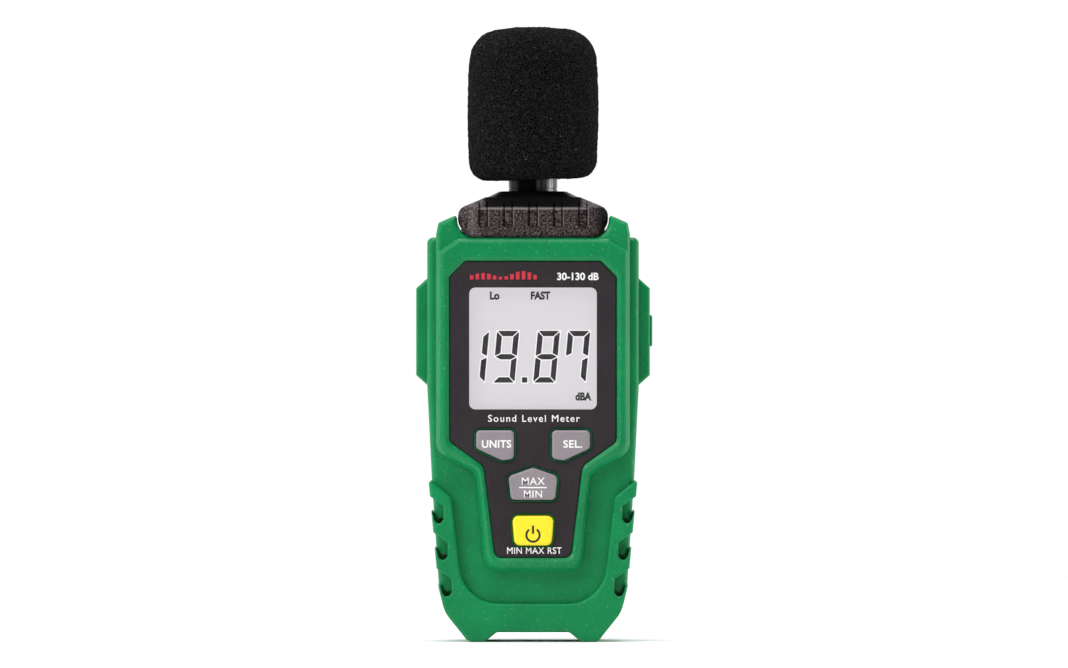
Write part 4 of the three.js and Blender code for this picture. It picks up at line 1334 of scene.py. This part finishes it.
class METER_OT_finishes(bpy.types.Operator):
    """Make the finishes and give them to the frame's own nodes"""

    bl_idname = "meter.finishes"
    bl_label = "Finishes"

    def execute(self, context):
        MATERIALS.update({
            "case": moulded("case_plastic", paint("case"), 0.36, 0.4, 0.06, 0.13, 0.08, 0.22),
            "nose": nose_plastic("nose_plastic", paint("nose")),
            "collar": moulded("collar_plastic", (0.004, 0.004, 0.0045, 1), 0.35, 0.3, 0.004, 0.1, 0.0, 0.2),
            "panel": moulded("panel_plastic", paint("panel"), 0.45, 0.34, 0.01, 0.14, 0.03, 0.15),
            "key": moulded("key_plastic", paint("key"), 0.5, 0.22, 0.01, 0.07, 0.08),
            "power": moulded("power_plastic", paint("power"), 0.45, 0.3, 0.004, 0.02),
            "foam": open_cell_foam("windscreen_foam", paint("foam")),
            "display": glowing_display_film("glowing_display_film", paint("display")),
            "segment": printed("display_segment", paint("segment"), 0.4),
            "halo": glowing_display_film("display_halo", (0.98, 0.97, 0.98, 1)),
            "light_ink": printed("light_ink", paint("light_ink")),
            "black_ink": printed("black_ink", (0.015, 0.014, 0.015, 1)),
            "red_ink": printed("red_ink", paint("red_ink")),
            # The tube has painted shade on its left and a painted lit, streaked right side.
            "tube": brushed("tube_metal", (0.09, 0.085, 0.085, 1), 0.22, (1, 1, 0.02), painted_left_shade=0.1),
            "grille": brushed("grille_metal", (0.5, 0.49, 0.49, 1), 0.25, (1, 1, 0.1)),
            "steel": brushed("bright_steel", (0.62, 0.62, 0.63, 1), 0.3, (1, 0.2, 1)),
            "brass": brushed("turned_brass", (0.72, 0.5, 0.2, 1), 0.28, (1, 0.05, 1)),
            "rubber": moulded("grey_silicone", (0.3, 0.3, 0.3, 1), 0.8, 0.3, 0.01),
            "carbon": moulded("carbon_pill", (0.02, 0.02, 0.02, 1), 0.85, 0.2, 0.02),
            "board": circuit_board("solder_mask"),
            "chip": moulded("chip_epoxy", (0.02, 0.02, 0.021, 1), 0.6, 0.15, 0.01),
            "white": moulded("white_plastic", (0.82, 0.82, 0.8, 1), 0.4, 0.3, 0.005, 0.03),
            "holder": moulded("holder_plastic", (0.03, 0.03, 0.03, 1), 0.6, 0.3, 0.01),
            "jacket": cell_jacket("cell_sleeve"),
            "lead": moulded("lead_insulation", (0.03, 0.03, 0.03, 1), 0.5, 0.4, 0.01),
            "clear": clear_plastic("clear_window"),
        })
        for finish, nodes in INNER_FINISHES.items():
            for node in nodes:
                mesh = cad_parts[node].data
                mesh.materials.clear()
                mesh.materials.append(MATERIALS[finish])
        return {"FINISHED"}


# ---------------------------------------------------------------- stage


def soft_light(name, place, target, size, power):
    """A square lamp at a place, turned towards a target."""
    deselect_all()
    bpy.ops.object.light_add(type="AREA", location=place)
    lamp = bpy.context.object
    lamp.name = name
    lamp.data.size = size
    lamp.data.energy = power
    lamp.rotation_euler = (Vector(target) - Vector(place)).to_track_quat("-Z", "Y").to_euler()
    return lamp


def studio_world(scene):
    """White behind the meter and greyer in front of it, so that edges shine and faces stay deep."""
    world = bpy.data.worlds.new("studio")
    world.use_nodes = True
    scene.world = world
    tree = world.node_tree
    direction = tree.nodes.new("ShaderNodeTexCoord")
    split = tree.nodes.new("ShaderNodeSeparateXYZ")
    shade = tree.nodes.new("ShaderNodeMapRange")
    for socket, value in (("From Min", -0.5), ("From Max", 0.6), ("To Min", 0.1), ("To Max", 1.03)):
        shade.inputs[socket].default_value = value
    background = tree.nodes["Background"]
    background.inputs["Color"].default_value = (1, 1, 1, 1)
    tree.links.new(direction.outputs["Generated"], split.inputs["Vector"])
    tree.links.new(split.outputs["Y"], shade.inputs["Value"])
    tree.links.new(shade.outputs["Result"], background.inputs["Strength"])


class METER_OT_stage(bpy.types.Operator):
    """Lay the floor, hang the lamps and set the camera"""

    bl_idname = "meter.stage"
    bl_label = "Stage"

    def execute(self, context):
        scene = context.scene
        deselect_all()
        bpy.ops.mesh.primitive_plane_add(size=1.8)
        floor = bpy.context.object
        floor.name = "floor"
        surface = Finish("pale_floor", roughness=0.9)
        surface.feed("Base Color", surface.mix(surface.noise(40), (0.86, 0.86, 0.86, 1), (0.9, 0.9, 0.9, 1)))
        floor.data.materials.append(surface.material)
        studio_world(scene)
        middle = (0, 0, 0.08)
        soft_light("key_lamp", (-0.7, -0.55, 0.65), middle, 0.4, 5.6)
        soft_light("left_strip", (-0.9, 0.05, 0.15), middle, 0.5, 1.5)
        soft_light("right_strip", (0.9, 0.05, 0.15), middle, 0.5, 3.2)
        soft_light("top_strip", (0, 0.02, 0.95), middle, 0.4, 3.5)
        deselect_all()
        bpy.ops.object.light_add(type="SUN", rotation=(math.radians(20), 0, 0))
        sun = context.object
        sun.name = "overhead_light"
        sun.data.energy = 1.3
        sun.data.angle = math.radians(50)
        scene.view_settings.view_transform = "Standard"
        distance, frame_width = 3.2, 0.2777
        bpy.ops.object.camera_add(location=(0.00026, -distance - 0.008, 0.07995), rotation=UPRIGHT)
        camera = bpy.context.object
        camera.name = "camera"
        camera.data.sensor_width = 36
        camera.data.lens = 36 * distance / frame_width
        camera.data.clip_start = 0.05
        scene.camera = camera
        return {"FINISHED"}


class METER_PT_sidebar(bpy.types.Panel):
    """Lists the pieces of the meter"""

    bl_label = "Sound Level Meter"
    bl_idname = "METER_PT_sidebar"
    bl_space_type = "VIEW_3D"
    bl_region_type = "UI"
    bl_category = "Meter"

    def draw(self, context):
        for group in (context.scene.meter_sizes, context.scene.meter_colours):
            for name in group.bl_rna.properties.keys():
                if name not in {"name", "rna_type"}:
                    self.layout.prop(group, name)
        for operator in OPERATORS:
            self.layout.operator(operator.bl_idname)


OPERATORS = (
    METER_OT_stage,
    METER_OT_finishes,
    METER_OT_front_case,
    METER_OT_rear_case,
    METER_OT_battery_door,
    METER_OT_nose,
    METER_OT_microphone,
    METER_OT_windscreen,
    METER_OT_panel,
    METER_OT_display,
    METER_OT_print,
    METER_OT_keys,
    METER_OT_side_key,
)
CLASSES = (MeterSizes, MeterColours, *OPERATORS, METER_PT_sidebar)


def register():
    for cls in CLASSES:
        bpy.utils.register_class(cls)
    bpy.types.Scene.meter_sizes = PointerProperty(type=MeterSizes)
    bpy.types.Scene.meter_colours = PointerProperty(type=MeterColours)


def unregister():
    del bpy.types.Scene.meter_colours
    del bpy.types.Scene.meter_sizes
    for cls in reversed(CLASSES):
        bpy.utils.unregister_class(cls)


def main():
    register()
    for operator in OPERATORS:
        group, name = operator.bl_idname.split(".")
        getattr(getattr(bpy.ops, group), name)()
    deselect_all()


if __name__ == "__main__":
    main()
